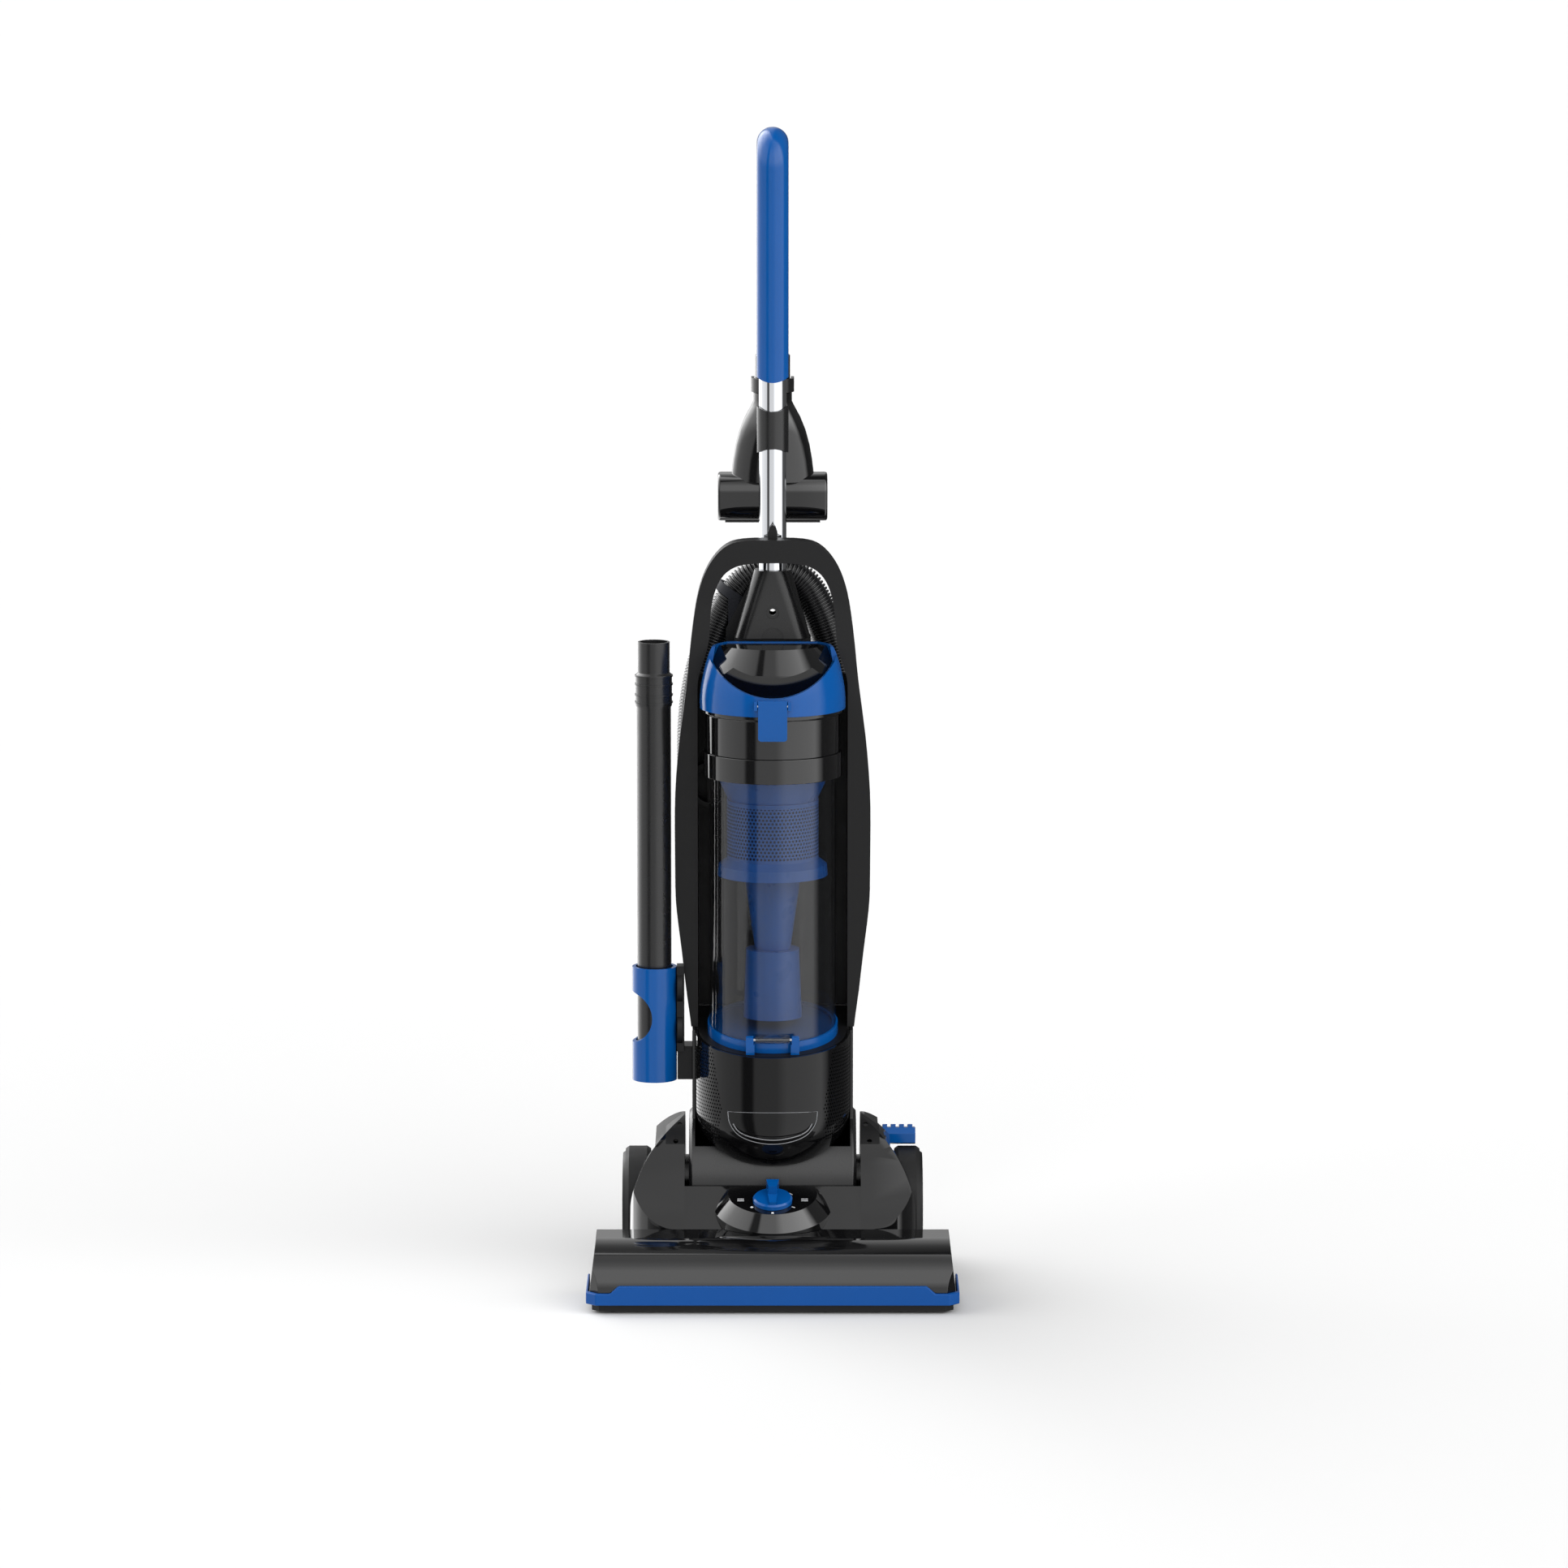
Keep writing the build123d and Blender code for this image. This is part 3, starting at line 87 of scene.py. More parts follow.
def add_node(tree, kind, settings=None, links=None):
    """Adds a node, sets its properties and input values, and joins its inputs to other sockets."""
    node = tree.nodes.new(kind)
    for name, value in (settings or {}).items():
        if name in node.inputs or isinstance(name, int):
            node.inputs[name].default_value = value
        else:
            setattr(node, name, value)
    for name, socket in (links or {}).items():
        tree.links.new(socket, node.inputs[name])
    return node


def finish_material(name, colour, rough, settings=None, grain=0.0, grain_mm=0.6, rough_change=0.0, shade=0.0):
    """A principled material with a fine moulded grain, uneven gloss and a little change of shade."""
    material = bpy.data.materials.new(name)
    material.use_nodes = True
    tree = material.node_tree
    shader = tree.nodes["Principled BSDF"]
    shader.inputs["Base Color"].default_value = linear(colour)
    shader.inputs["Roughness"].default_value = rough
    for key, value in (settings or {}).items():
        shader.inputs[key].default_value = value
    place = add_node(tree, "ShaderNodeTexCoord").outputs["Object"]
    if rough_change:
        cloud = add_node(tree, "ShaderNodeTexNoise", {"Scale": 45.0, "Detail": 4.0}, {"Vector": place})
        span = {"From Min": 0.3, "From Max": 0.7, "To Min": rough - rough_change,
                "To Max": rough + rough_change}
        gloss = add_node(tree, "ShaderNodeMapRange", span, {"Value": cloud.outputs["Fac"]})
        tree.links.new(gloss.outputs["Result"], shader.inputs["Roughness"])
    if shade:
        drift = add_node(tree, "ShaderNodeTexNoise", {"Scale": 14.0, "Detail": 3.0}, {"Vector": place})
        lower = tuple(c * (1 - shade) for c in linear(colour)[:3]) + (1.0,)
        upper = tuple(min(1.0, c * (1 + shade)) for c in linear(colour)[:3]) + (1.0,)
        tint = add_node(tree, "ShaderNodeMix", {"data_type": "RGBA"})
        tint.inputs[6].default_value = lower
        tint.inputs[7].default_value = upper
        tree.links.new(drift.outputs["Fac"], tint.inputs[0])
        tree.links.new(tint.outputs[2], shader.inputs["Base Color"])
    if grain:
        spots = add_node(tree, "ShaderNodeTexNoise", {"Scale": 1000.0 / grain_mm, "Detail": 2.0},
                         {"Vector": place})
        bump = add_node(tree, "ShaderNodeBump", {"Strength": grain, "Distance": 0.0002},
                        {"Height": spots.outputs["Fac"]})
        tree.links.new(bump.outputs["Normal"], shader.inputs["Normal"])
    return material


# Gloss black ABS, moulded in a polished tool: deep black with sharp softbox reflections.
gloss_black = finish_material("gloss_black_abs", "#0A0A0B", 0.07,
                              {"IOR": 1.53, "Coat Weight": 0.35, "Coat Roughness": 0.04},
                              rough_change=0.015, shade=0.15)
# Black polypropylene from a spark-eroded tool: a fine grain that spreads its reflections.
grained_black = finish_material("grained_black_polypropylene", "#111112", 0.45,
                                {"IOR": 1.49, "Specular IOR Level": 0.25},
                                grain=0.35, grain_mm=0.8, rough_change=0.05, shade=0.12)
# Satin black ABS of the barrel: smoother than the frame, so a soft band of light runs along it.
satin_black = finish_material("satin_black_abs", "#141415", 0.27, {"IOR": 1.53}, grain=0.12, grain_mm=0.7,
                              rough_change=0.04, shade=0.1)
# Mass-coloured blue ABS, polished tool.
gloss_blue = finish_material("gloss_blue_abs", "#024A8E", 0.15, {"IOR": 1.53, "Specular IOR Level": 0.3},
                             rough_change=0.03, shade=0.06)
# Blue thermoplastic rubber of the bumper: same colour, softer shine.
soft_blue = finish_material("blue_thermoplastic_rubber", "#02458A", 0.42,
                            {"IOR": 1.5, "Specular IOR Level": 0.2},
                            grain=0.15, grain_mm=0.9, rough_change=0.05, shade=0.06)
# Thin blue ABS seen through the smoky cup.
inner_blue = finish_material("satin_blue_abs", "#1560B8", 0.3, {"IOR": 1.53}, rough_change=0.04, shade=0.1)
# Smoke-tinted clear polycarbonate, injection moulded: nearly clear with hard highlights.
clear_smoke = finish_material("smoke_clear_polycarbonate", "#0E0F11", 0.03,
                              {"IOR": 1.7, "Alpha": 0.3, "Coat Weight": 0.8, "Coat Roughness": 0.02},
                              rough_change=0.008)
# Chromed steel tube: bright electroplated mirror with a trace of polishing haze.
chrome = finish_material("chromed_steel", "#E2E4E8", 0.06, {"Metallic": 1.0}, rough_change=0.02, shade=0.02)
# Turned steel of the pins and axles.
steel = finish_material("turned_steel", "#A9ABAF", 0.28, {"Metallic": 1.0}, grain=0.1, grain_mm=0.5,
                        rough_change=0.06)
# Black vulcanised rubber of the treads and the belt.
rubber = finish_material("black_rubber", "#0F0F10", 0.6, {"IOR": 1.52, "Specular IOR Level": 0.35},
                         grain=0.4, grain_mm=0.9, rough_change=0.08)
# Open-cell filter foam: matt and coarse.
foam = finish_material("filter_foam", "#3A3B3E", 0.9, {"IOR": 1.4}, grain=0.9, grain_mm=1.6, shade=0.3)
# Nylon bristles.
bristle = finish_material("black_nylon_bristle", "#151517", 0.5, {"IOR": 1.53}, grain=0.8, grain_mm=0.9,
                          shade=0.3)
# Stretch-hose PVC: satin black, each rib catches a thin line of light.
hose_black = finish_material("stretch_hose_pvc", "#111113", 0.26, {"IOR": 1.53}, rough_change=0.05, shade=0.1)
# Pad-printed white ink of the dial marks.
white_ink = finish_material("white_print", "#D9DADC", 0.45, {"IOR": 1.5}, shade=0.04)
# Polished black bead painted mid grey, a painted highlight along its crest, so it shows as a thin pale line.
painted_highlight_bead = finish_material("painted_highlight_black_edge", "#6D6E71", 0.15, {"IOR": 1.53}, rough_change=0.02)
# Navy elastic strap of the hose.
navy = finish_material("navy_webbing", "#060A16", 0.7, {"IOR": 1.45}, grain=0.6, grain_mm=1.0, shade=0.2)
# Cast aluminium fan.
cast_alu = finish_material("cast_aluminium", "#B4B6B8", 0.38, {"Metallic": 1.0}, grain=0.3, grain_mm=1.0)

BY_SLOT = {"gloss_black": gloss_black, "matte_black": grained_black, "blue": gloss_blue,
           "soft_blue": soft_blue, "soft_black": rubber, "hose_plastic": hose_black, "steel": steel,
           "chrome": chrome, "aluminium": cast_alu, "roll_plastic": satin_black, "bristle": bristle,
           "filter_foam": foam, "clear_smoke": clear_smoke}
BY_NODE = {"barrel_column": satin_black, "tube_socket": satin_black, "tool_clip": satin_black,
           "outlet_funnel": inner_blue, "cyclone_cone": inner_blue, "fines_cup": inner_blue,
           "wand_tube": satin_black, "spine_frame": grained_black, "hose_strap": navy}


def dotted(base, name, dot_node):
    """A copy of a material with round holes painted near black and dull, a painted shade for their depth, and
    sunk by a bump; dot_node builds the mask of the holes.
    """
    material = base.copy()
    material.name = name
    tree = material.node_tree
    shader = tree.nodes["Principled BSDF"]
    mask = dot_node(tree)
    source = shader.inputs["Base Color"].links[0].from_socket
    # painted shade: the holes are coloured near black, in place of the shade inside them
    hole = add_node(tree, "ShaderNodeMix", {"data_type": "RGBA"})
    tree.links.new(mask, hole.inputs[0])
    tree.links.new(source, hole.inputs[6])
    hole.inputs[7].default_value = (0.0008, 0.0008, 0.001, 1.0)
    tree.links.new(hole.outputs[2], shader.inputs["Base Color"])
    for socket, in_hole in (("Roughness", 0.9), ("Specular IOR Level", 0.0)):
        target = shader.inputs[socket]
        change = add_node(tree, "ShaderNodeMix", {"data_type": "FLOAT"})
        change.inputs[2].default_value = target.default_value
        change.inputs[3].default_value = in_hole
        tree.links.new(mask, change.inputs[0])
        if target.links:
            tree.links.new(target.links[0].from_socket, change.inputs[2])
        tree.links.new(change.outputs[0], target)
    bump = add_node(tree, "ShaderNodeBump", {"Strength": 0.9, "Distance": 0.001, "invert": True},
                    {"Height": mask})
    tree.links.new(bump.outputs["Normal"], shader.inputs["Normal"])
    return material


def math_node(tree, operation, first, second=None):
    """One arithmetic step on sockets or plain numbers."""
    node = add_node(tree, "ShaderNodeMath", {"operation": operation})
    for number, value in enumerate((first, second)):
        if value is None:
            continue
        if isinstance(value, (int, float)):
            node.inputs[number].default_value = value
        else:
            tree.links.new(value, node.inputs[number])
    return node.outputs[0]


def round_holes(tree, radius, across, up, size, low, high, slope):
    """Mask of staggered round holes of radius size on an upright cylinder, between two heights.

    The field begins beyond an inner edge at arc length slope[0], which moves outward by slope[1] with
    the distance from the field's middle.
    """
    place = add_node(tree, "ShaderNodeTexCoord").outputs["Object"]
    parts = add_node(tree, "ShaderNodeSeparateXYZ", links={0: place}).outputs
    forward = math_node(tree, "SUBTRACT", BIN_Y, parts[1])
    angle = math_node(tree, "ARCTAN2", parts[0], forward)
    arc = math_node(tree, "MULTIPLY", angle, radius)
    row = math_node(tree, "DIVIDE", parts[2], up)
    row_number = math_node(tree, "FLOOR", row)
    half_step = math_node(tree, "MULTIPLY", math_node(tree, "MODULO", row_number, 2.0), 0.5)
    column = math_node(tree, "ADD", math_node(tree, "DIVIDE", arc, across), half_step)
    from_middle = [math_node(tree, "SUBTRACT", math_node(tree, "FRACT", cell), 0.5) for cell in (column, row)]
    dx, dz = (math_node(tree, "MULTIPLY", part, pitch) for part, pitch in zip(from_middle, (across, up)))
    squares = math_node(tree, "ADD", math_node(tree, "MULTIPLY", dx, dx), math_node(tree, "MULTIPLY", dz, dz))
    far = math_node(tree, "SQRT", squares)
    inside = math_node(tree, "LESS_THAN", far, size)
    above = math_node(tree, "GREATER_THAN", parts[2], low)
    below = math_node(tree, "LESS_THAN", parts[2], high)
    middle = (low + high) / 2 - 0.012
    from_widest = math_node(tree, "ABSOLUTE", math_node(tree, "SUBTRACT", parts[2], middle))
    edge = math_node(tree, "ADD", slope[0], math_node(tree, "MULTIPLY", slope[1], from_widest))
    outside = math_node(tree, "GREATER_THAN", math_node(tree, "ABSOLUTE", arc), edge)
    band = math_node(tree, "MULTIPLY", above, below)
    return math_node(tree, "MULTIPLY", math_node(tree, "MULTIPLY", inside, outside), band)


def vent_holes(tree):
    """Holes 1.8 mm across and 3.4 mm apart, in two side fields that narrow away from their middle."""
    return round_holes(tree, COVER_R, 0.0034, 0.0034, 0.0009, 0.140, 0.226, (0.052, 0.22))


def shroud_holes(tree):
    """Holes 2.2 mm across, 3.6 mm apart and 3.4 mm between rows, all round the shroud."""
    return round_holes(tree, 0.0432, 0.0036, 0.0034, 0.0011, 0.405, 0.454, (-1.0, 0.0))


# Deep gloss black ABS under the vent holes: fewer reflections than the rest, so the holes show.
deep_black = finish_material("deep_gloss_black_abs", "#09090A", 0.08,
                             {"IOR": 1.53, "Specular IOR Level": 0.3}, rough_change=0.015, shade=0.15)
# The holes of the front cover and of the shroud are painted near black and dull: painted shade for their
# depth.
vented_black = dotted(deep_black, "vented_gloss_black_abs", vent_holes)
perforated_blue = dotted(inner_blue, "perforated_blue_abs", shroud_holes)
BY_NODE["front_cover"] = vented_black
BY_NODE["shroud"] = perforated_blue


# ---- pieces from the frame -------------------------------------------------
def new_piece(name, mesh, body, material):
    """Puts a mesh in the scene, gives it its material and ties it to a body."""
    piece = bpy.data.objects.new(name, mesh)
    SCENE.collection.objects.link(piece)
    mesh.materials.clear()
    mesh.materials.append(material)
    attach(piece, body)
    return piece


def mark_edges(work):
    """Smooth faces, with crisp edges where the surface turns sharply."""
    for face in work.faces:
        face.smooth = True
    for edge in work.edges:
        edge.smooth = not (edge.is_manifold and edge.calc_face_angle(0) > math.radians(CREASE))


def finish_of(node):
    """The material of a frame node: its own, or that of its finish slot."""
    return BY_NODE.get(node) or BY_SLOT[SLOTS[node]]


def to_mesh(work, name):
    """Turns finished bmesh work into a mesh of this name."""
    mesh = bpy.data.meshes.new(name)
    work.to_mesh(mesh)
    work.free()
    return mesh


def round_edges(work, edges, offset, segments):
    """Bevels the given edges in place with a round section."""
    bmesh.ops.bevel(work, geom=edges, offset=offset, affect="EDGES", segments=segments, profile=0.5,
                    material=-1, clamp_overlap=True, loop_slide=False)


def moulded(node, edge):
    """A soft-edged copy of a frame node: merged, cleaned and rounded along its edges."""
    source = NODES[node]
    work = bmesh.new()
    work.from_mesh(source.data)
    bmesh.ops.remove_doubles(work, verts=work.verts, dist=0.00001)
    bmesh.ops.dissolve_limit(work, angle_limit=math.radians(0.5), verts=work.verts, edges=work.edges,
                             delimit={"NORMAL"})
    mark_edges(work)
    mesh = to_mesh(work, node + "_moulded")
    piece = new_piece(node + "_moulded", mesh, source["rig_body"], finish_of(node))
    rounding = piece.modifiers.new("edges", "BEVEL")
    rounding.width = edge
    rounding.segments = 2
    rounding.limit_method = "ANGLE"
    rounding.angle_limit = math.radians(CREASE)
    rounding.harden_normals = True
    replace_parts(piece, node)


# The moulded nodes, each with the rounding of its edges.
MOULDED = {"nozzle_cover": 0.0016, "bumper": 0.0012, "soleplate": 0.0006, "head_shell": 0.0012,
           "dial_pod": 0.0006,
           "trunnion_cap_left": 0.0006, "trunnion_cap_right": 0.0006, "height_knob": 0.0006,
           "release_pedal": 0.0008, "barrel_column": 0.0012, "front_cover": 0.0007, "spine_frame": 0.0022,
           "tube_socket": 0.0008,
           "loop_handle": 0.0008, "tool_clip": 0.0008, "wand_holder": 0.0007, "holder_bracket": 0.0012,
           "hose_cuff_left": 0.0012, "hose_cuff_right": 0.0012, "bin_lid": 0.0007,
           "lid_latch": 0.0005, "bin_door": 0.0005, "bin_ring": 0.0006, "filter_housing": 0.0006,
           "wand_tube": 0.0004, "inlet_ring": 0.0006, "hose_strap": 0.0006, "cord_hook_upper": 0.0012}


def dress_nodes():
    """Soft-edged copies for the moulded nodes, and a material for every other node."""
    for node, edge in MOULDED.items():
        moulded(node, edge)
    for node, shown in NODES.items():
        if node in MOULDED:
            continue
        shown.data.materials.clear()
        shown.data.materials.append(finish_of(node))


def round_fenders():
    """Rounds the long outer shoulder of the fenders, where the sloping front meets the curved side."""
    inner_x, rounding = 0.0845, 0.0075
    for node in ("head_shell", "trunnion_cap_left", "trunnion_cap_right"):
        piece = bpy.data.objects[node + "_moulded"]
        work = bmesh.new()
        work.from_mesh(piece.data)
        shoulder = []
        for edge in work.edges:
            if not edge.is_manifold or min(abs(v.co.x) for v in edge.verts) < inner_x:
                continue
            first, second = (face.normal for face in edge.link_faces)
            if abs(first.y) > abs(second.y):
                first, second = second, first
            side = abs(first.x) > 0.12 and abs(first.y) < 0.02
            slope = abs(second.x) < 0.02 and second.y < -0.15 and second.z > 0.1
            outward = first.x * edge.verts[0].co.x > 0
            if side and slope and outward:
                shoulder.append(edge)
        round_edges(work, shoulder, rounding, 6)
        mark_edges(work)
        work.to_mesh(piece.data)
        work.free()


def scallop_sleeves():
    """Curves the ends of the tube sleeve and of the handle's foot, hollow at their sides."""
    wall_r, depth = 0.0145, 0.0045
    # each end's height, with the way its middle moves; 0 lifts the sides instead
    sleeves = {"tool_clip": ((0.823, -1.0), (0.779, 1.0)), "loop_handle": ((0.846, 0.0),)}
    for node, ends in sleeves.items():
        for vertex in bpy.data.objects[node + "_moulded"].data.vertices:
            x, y, z = vertex.co
            if abs(math.hypot(x, y - TUBE_Y) - wall_r) > 0.002:
                continue
            for height, way in ends:
                if abs(z - height) < 0.0004:
                    share = (x / 0.015) ** 2
                    vertex.co.z = z + way * depth * (1 - share) if way else z + depth * share


def turned(work, outline, steps):
    """Spins an outline of radii and heights a full turn about the upright axis."""
    row = [work.verts.new((radius, 0, height)) for radius, height in outline]
    edges = [work.edges.new(pair) for pair in zip(row, row[1:])]
    bmesh.ops.spin(work, geom=row + edges, cent=(0, 0, 0), axis=(0, 0, 1), angle=math.tau, steps=steps,
                   use_merge=True, use_duplicate=False)


def make_brush_tool():
    """The clipped-on brush tool: a flattened bell on a wide rounded head, with its neck and collar."""
    collar = [(0.0120, 0.8678), (0.0155, 0.8678), (0.0165, 0.8668), (0.0165, 0.8330), (0.0183, 0.8315),
              (0.0183, 0.8235)]
    bell = [(0.0205, 0.8190), (0.0262, 0.8085), (0.0312, 0.7960), (0.0350, 0.7820), (0.0374, 0.7680),
            (0.0388, 0.7560), (0.0396, 0.7480), (0.0300, 0.7440)]
    head_size, head_y, head_z = (0.1038, 0.0488, 0.0449), 0.0015, 0.7325
    flattening, rim_round, end_round = 0.38, 0.018, 0.0025
    work = bmesh.new()
    turned(work, collar + bell, 64)
    for vertex in work.verts:
        down_the_bell = max(0.0, min(1.0, (0.822 - vertex.co.z) / 0.05))
        vertex.co.y *= 1 - flattening * down_the_bell
    box = bmesh.ops.create_cube(work, size=1.0)["verts"]
    for vertex in box:
        x, y, z = (part * side for part, side in zip(vertex.co, head_size))
        vertex.co = Vector((x, y + head_y, z + head_z))
    rims = {edge for vertex in box for edge in vertex.link_edges}
    long_rims = [edge for edge in rims if abs(edge.verts[0].co.x - edge.verts[1].co.x) > 0.01]
    round_edges(work, long_rims, rim_round, 10)
    ends = [face for face in work.faces
            if abs(face.normal.x) > 0.99 and abs(face.calc_center_median().x) > head_size[0] / 2 - 0.001]
    end_rims = list({edge for face in ends for edge in face.edges})
    round_edges(work, end_rims, end_round, 4)
    mouth = [face for face in work.faces if face.normal.z < -0.99 and face.calc_center_median().z < 0.711]
    bmesh.ops.inset_region(work, faces=mouth, thickness=0.003, use_even_offset=True)
    for vertex in {vertex for face in mouth for vertex in face.verts}:
        vertex.co.z += 0.004
    for vertex in work.verts:
        vertex.co.y += TOOL_Y
    bmesh.ops.recalc_face_normals(work, faces=work.faces)
    mark_edges(work)
    mesh = to_mesh(work, "brush_tool_shell")
    body, slot = NODES["brush_tool"]["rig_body"], SLOTS["brush_tool"]
    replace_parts(new_piece("brush_tool_shell", mesh, body, gloss_black), "brush_tool")


# ---- small details ---------------------------------------------------------
def bead(name, points, radius, body, material):
    """Thin round bead along a row of points."""
    work = bmesh.new()
    rings = []
    for number, point in enumerate(points):
        before, after = points[max(number - 1, 0)], points[min(number + 1, len(points) - 1)]
        along = (Vector(after) - Vector(before)).normalized()
        side = along.cross(Vector((0, -1, 0.2))).normalized()
        up = side.cross(along)
        turns = [math.tau * step / 8 for step in range(8)]
        rings.append([work.verts.new(Vector(point) + radius * (math.cos(turn) * side + math.sin(turn) * up))
                      for turn in turns])
    for first, second in zip(rings, rings[1:]):
        for step in range(8):
            work.faces.new((first[step], first[(step + 1) % 8], second[(step + 1) % 8], second[step]))
    work.faces.new(rings[0][::-1])
    work.faces.new(rings[-1])
    bmesh.ops.recalc_face_normals(work, faces=work.faces)
    for face in work.faces:
        face.smooth = True
    new_piece(name, to_mesh(work, name), body, material)


def rounded_path(corners, steps=8):
    """Points along a row of corners, each corner turned into a small curve."""
    points = [corners[0]]
    for before, here, after in zip(corners, corners[1:], corners[2:]):
        start = [(a + b) / 2 for a, b in zip(before, here)]
        end = [(a + b) / 2 for a, b in zip(here, after)]
        for step in range(steps + 1):
            t = step / steps
            weights = (1 - t) ** 2, 2 * t * (1 - t), t * t
            points.append(tuple(sum(share * value for share, value in zip(weights, values))
                                for values in zip(start, here, end)))
    points.append(corners[-1])
    return points


def on_cover(x, z, lift=0.0):
    """The point of the front cover's round face at this width and height."""
    radius = COVER_R + lift
    return x, BIN_Y - math.sqrt(radius * radius - x * x), z


def make_grip_lines():
    """The grip ledge on the front cover: two fine raised lines, one inside the other."""
    # each line's bead radius, and its left half from the end to the middle; the right half mirrors it
    lines = {"grip_line_outer": (0.00045, [(-0.042, 0.1700), (-0.041, 0.158), (-0.030, 0.1455), (0, 0.1400)]),
             "grip_line_inner": (0.0006, [(-0.037, 0.1590), (-0.033, 0.152), (-0.022, 0.1475), (0, 0.1445)]),
             "grip_line_upper": (0.0003, [(-0.042, 0.1700), (-0.020, 0.1712), (0, 0.1715)])}
    for name, (radius, left) in lines.items():
        row = left + [(-x, z) for x, z in left[-2::-1]]
        # the beads take the mid grey of the painted highlight
        bead(name, [on_cover(x, z) for x, z in rounded_path(row)], radius, "body", painted_highlight_bead)


def dial_point(u, v, lift):
    """A point on the platform of the dial, from its own two axes about the knob."""
    tilt = math.radians(DIAL_TILT)
    y = DIAL_Y + v * math.cos(tilt) - lift * math.sin(tilt)
    z = DIAL_Z + v * math.sin(tilt) + lift * math.cos(tilt)
    return Vector((u, y, z))


def make_dial_marks():
    """Plain printed marks round the dial: a diamond, a square, a line, an arc and two pairs of bars."""
    def at(angle, radius):
        return radius * math.cos(math.radians(angle)), radius * math.sin(math.radians(angle))

    def quad(centre, half_u, half_v, turn):
        spin = math.radians(turn)
        return [(centre[0] + a * half_u * math.cos(spin) - b * half_v * math.sin(spin),
                 centre[1] + a * half_u * math.sin(spin) + b * half_v * math.cos(spin))
                for a, b in ((-1, -1), (1, -1), (1, 1), (-1, 1))]

    ring = 0.0225
    ring_outer = ring + 0.0006
    shapes = [quad(at(-150, ring), 0.0012, 0.0012, 45), quad(at(-90, ring), 0.0011, 0.0014, 0),
              quad(at(-30, ring), 0.0018, 0.0005, -30)]
    for start in range(36, 76, 4):
        end = start + 4
        shapes.append([at(start, ring), at(start, ring_outer), at(end, ring_outer), at(end, ring)])
    for side in (-1, 1):
        for row in range(2):
            shapes.append(quad((side * 0.030, 0.0015 + 0.0034 * row), 0.0032, 0.0005, 0))
    work = bmesh.new()
    for shape in shapes:
        low = [work.verts.new(dial_point(u, v, 0.00002)) for u, v in shape]
        high = [work.verts.new(dial_point(u, v, 0.00014)) for u, v in shape]
        work.faces.new(low[::-1])
        work.faces.new(high)
        for step in range(4):
            work.faces.new((low[step], low[(step + 1) % 4], high[(step + 1) % 4], high[step]))
    bmesh.ops.recalc_face_normals(work, faces=work.faces)
    new_piece("dial_marks", to_mesh(work, "dial_marks"), "head", white_ink)


# ---- the hose --------------------------------------------------------------
HOSE_ROUTE = [(-0.0545, 0.237), (-0.059, 0.330), (-0.073, 0.430), (-0.074, 0.542), (-0.050, 0.614),
              (-0.021, 0.658), (0.022, 0.661), (0.050, 0.614), (0.067, 0.540), (0.071, 0.430), (0.059, 0.330),
              (0.0545, 0.237)]


def make_hose():
    """Ribbed stretch hose: a turned rib profile repeated along a straight tube, then bent along its line."""
    curve = bpy.data.curves.new("hose_line", "CURVE")
    curve.dimensions = "3D"
    curve.resolution_u = 24
    spline = curve.splines.new("NURBS")
    spline.points.add(len(HOSE_ROUTE) - 1)
    for point, (x, z) in zip(spline.points, HOSE_ROUTE):
        point.co = (x, HOSE_Y, z, 1.0)
    spline.order_u = 3
    spline.use_endpoint_u = True
    line = bpy.data.objects.new("hose_line", curve)
    SCENE.collection.objects.link(line)
    bpy.context.view_layer.update()
    trace = bpy.data.meshes.new_from_object(line)
    path = [tuple(v.co) for v in trace.vertices]
    length = sum((Vector(a) - Vector(b)).length for a, b in zip(path, path[1:]))
    pitch, crest, root = 0.0029, HOSE_R - 0.0002, HOSE_R - 0.0025
    ribs = int(length / pitch)
    step = length / ribs
    work = bmesh.new()
    profile = []
    for number in range(ribs):
        for share, radius in ((0.0, root), (0.30, root), (0.48, crest), (0.82, crest)):
            profile.append(work.verts.new(((number + share) * step, radius, 0.0)))
    profile.append(work.verts.new((length, root, 0.0)))
    edges = [work.edges.new(pair) for pair in zip(profile, profile[1:])]
    bmesh.ops.spin(work, geom=profile + edges, cent=(0, 0, 0), axis=(1, 0, 0), angle=math.tau, steps=22,
                   use_merge=True, use_duplicate=False)
    bmesh.ops.recalc_face_normals(work, faces=work.faces)
    for face in work.faces:
        face.smooth = True
    straight = bpy.data.objects.new("hose_straight", to_mesh(work, "hose_ribs"))
    SCENE.collection.objects.link(straight)
    bend = straight.modifiers.new("bend", "CURVE")
    bend.object = line
    bend.deform_axis = "POS_X"
    bpy.context.view_layer.update()
    shaped = straight.evaluated_get(bpy.context.evaluated_depsgraph_get())
    bent = bpy.data.meshes.new_from_object(shaped)
    bpy.data.objects.remove(straight)
    bpy.data.objects.remove(line)
    hose = new_piece("stretch_hose", bent, "body", hose_black)
    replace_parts(hose, "hose")


# ---- stage -----------------------------------------------------------------
def make_camera():
    """Long-lens camera a little above the machine."""
    distance, tilt = 7.0, math.radians(8.5)
    seen_width, aside, below = 1.46832, 0.01064, 0.06916
    lens = bpy.data.cameras.new("camera")
    lens.lens = lens.sensor_width * distance / seen_width
    lens.shift_x = aside / seen_width
    lens.shift_y = -below / seen_width
    camera = bpy.data.objects.new("camera", lens)
    SCENE.collection.objects.link(camera)
    camera.location = (0, -distance * math.cos(tilt), 0.545 + distance * math.sin(tilt))
    camera.rotation_euler = (math.radians(90) - tilt, 0, 0)
    SCENE.camera = camera


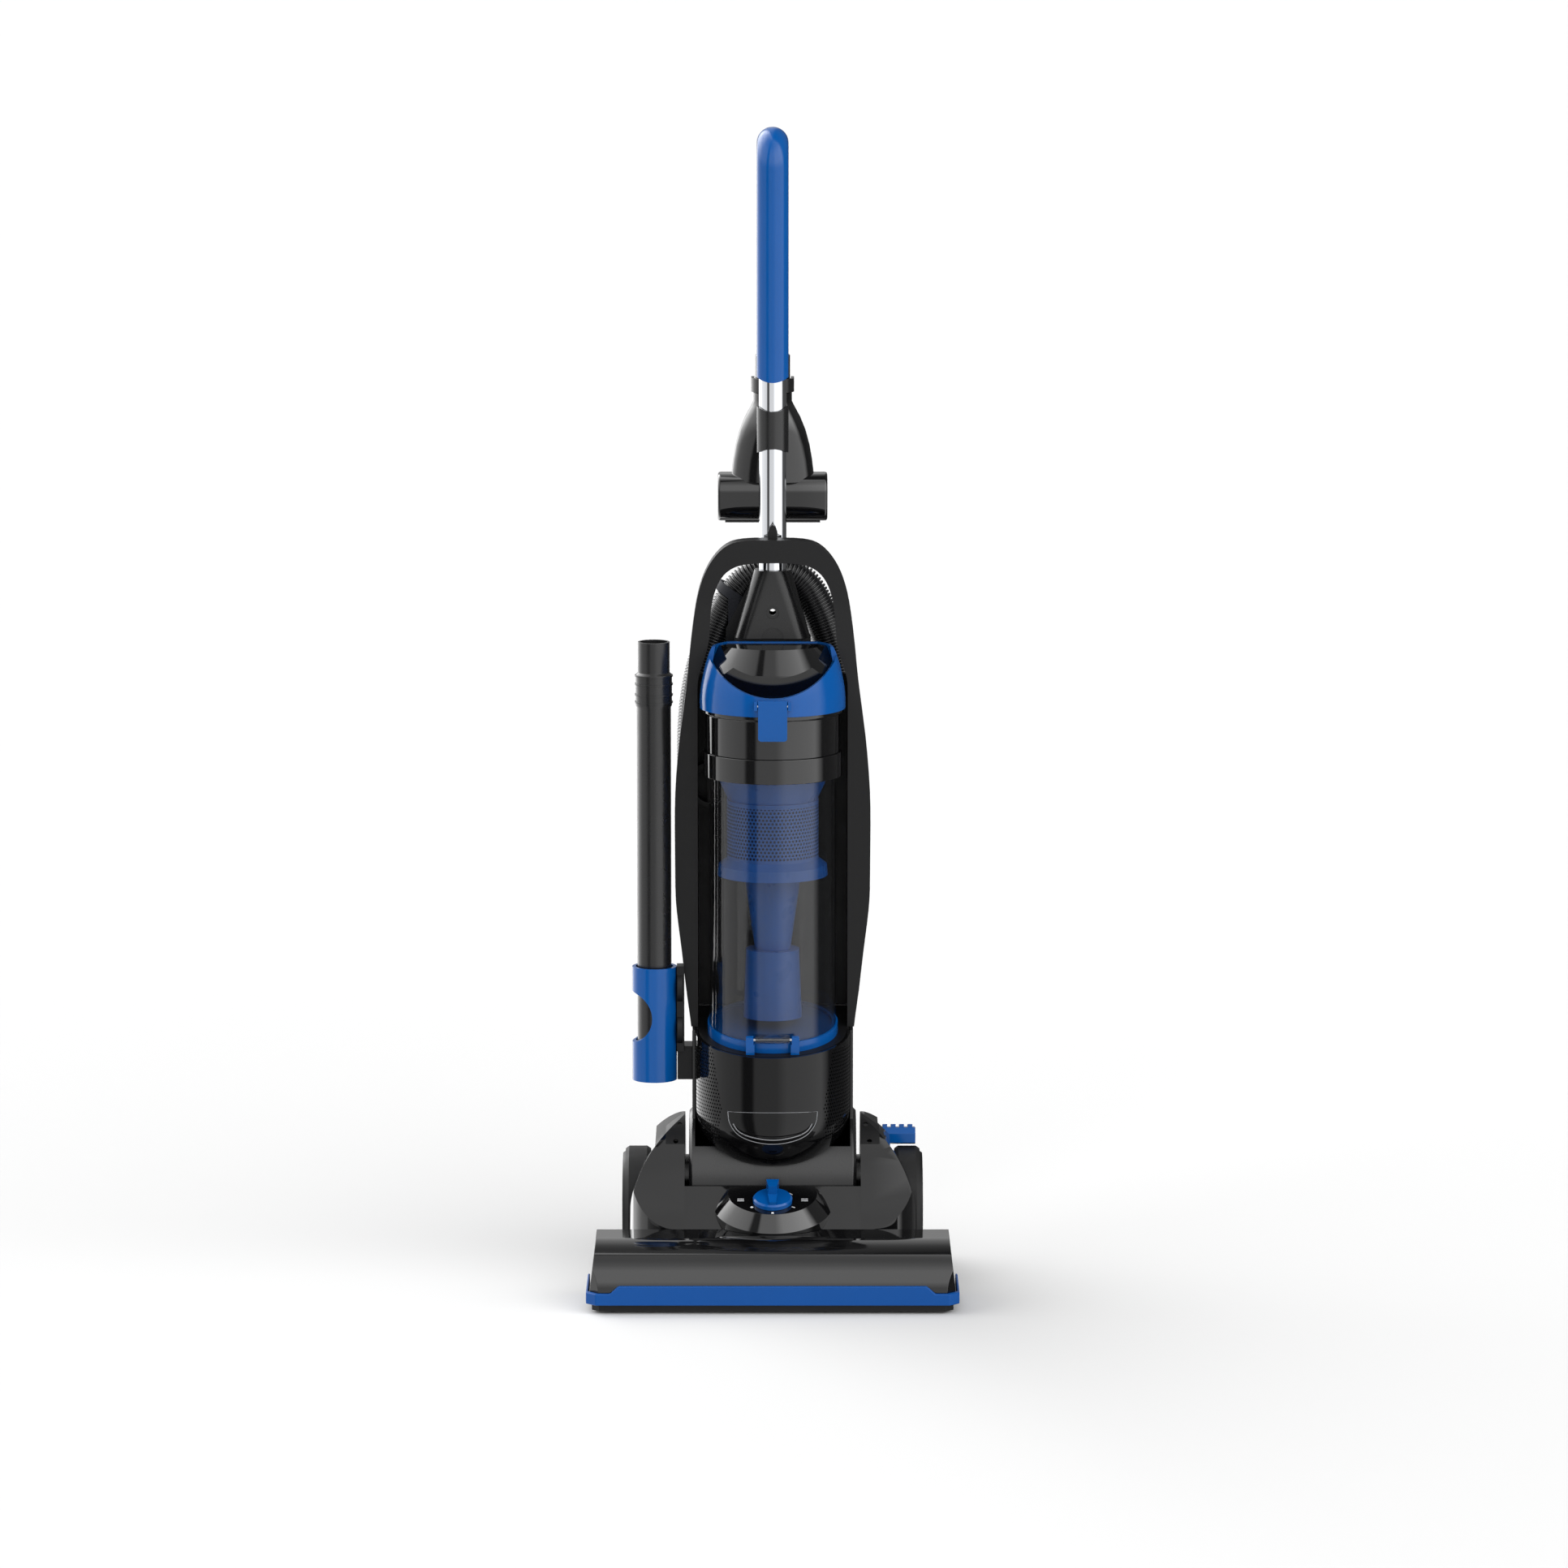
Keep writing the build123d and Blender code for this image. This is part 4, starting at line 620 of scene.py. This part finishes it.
def make_studio():
    """Pale floor and a surrounding of softboxes: bright on the left, mid grey in front, dark on the right."""
    work = bmesh.new()
    bmesh.ops.create_grid(work, x_segments=2, y_segments=2, size=30)
    mesh = to_mesh(work, "floor")
    floor = bpy.data.objects.new("floor", mesh)
    SCENE.collection.objects.link(floor)
    paper = finish_material("white_paper", "#D0D0D0", 0.9, {"Specular IOR Level": 0.0})
    mesh.materials.append(paper)
    floor.visible_glossy = False
    world = bpy.data.worlds.new("studio")
    world.use_nodes = True
    SCENE.world = world
    tree = world.node_tree
    tree.nodes.clear()
    way = add_node(tree, "ShaderNodeTexCoord").outputs["Generated"]
    parts = add_node(tree, "ShaderNodeSeparateXYZ", links={0: way}).outputs
    angle = math_node(tree, "ARCTAN2", parts[0], math_node(tree, "MULTIPLY", parts[1], -1.0))
    share = math_node(tree, "ADD", math_node(tree, "DIVIDE", angle, math.tau), 0.5)
    ramp = add_node(tree, "ShaderNodeValToRGB", links={"Fac": share})
    stops = ramp.color_ramp.elements
    # azimuth in degrees from the front, left negative, with the brightness there
    levels = [(-180, 0.12), (-166, 0.13), (-158, 0.85), (-118, 0.62), (-98, 0.36), (-50, 0.27),
              (-44, 0.03), (-31, 0.03), (-26, 0.27), (6, 0.28), (22, 0.48), (78, 0.56), (94, 0.03),
              (168, 0.02), (180, 0.12)]
    stops[0].color = stops[1].color = (levels[0][1], levels[0][1], levels[0][1], 1)
    for degrees, level in levels[1:-1]:
        stops.new((degrees + 180) / 360).color = (level, level, level, 1)
    # a long bank of lamps brightens what leans back a little, and less light falls from straight above
    power = 3.0
    for low, high, change in ((0.10, 0.34, 2.1), (0.72, 0.95, 0.45)):
        span = {"From Min": low, "From Max": high, "To Min": 1.0, "To Max": change}
        band = add_node(tree, "ShaderNodeMapRange", span, {"Value": parts[2]}).outputs["Result"]
        power = math_node(tree, "MULTIPLY", band, power)
    around = add_node(tree, "ShaderNodeBackground", links={"Color": ramp.outputs["Color"], "Strength": power})
    plain = add_node(tree, "ShaderNodeBackground", {"Color": (1, 1, 1, 1), "Strength": 1.0})
    seen = add_node(tree, "ShaderNodeLightPath").outputs["Is Camera Ray"]
    both = add_node(tree, "ShaderNodeMixShader", links={0: seen, 1: around.outputs[0], 2: plain.outputs[0]})
    add_node(tree, "ShaderNodeOutputWorld", links={"Surface": both.outputs[0]})
    SCENE.view_settings.view_transform = "Standard"
    SCENE.view_settings.look = "None"


dress_nodes()
round_fenders()
scallop_sleeves()
make_brush_tool()
make_grip_lines()
make_dial_marks()
make_hose()
make_camera()
make_studio()
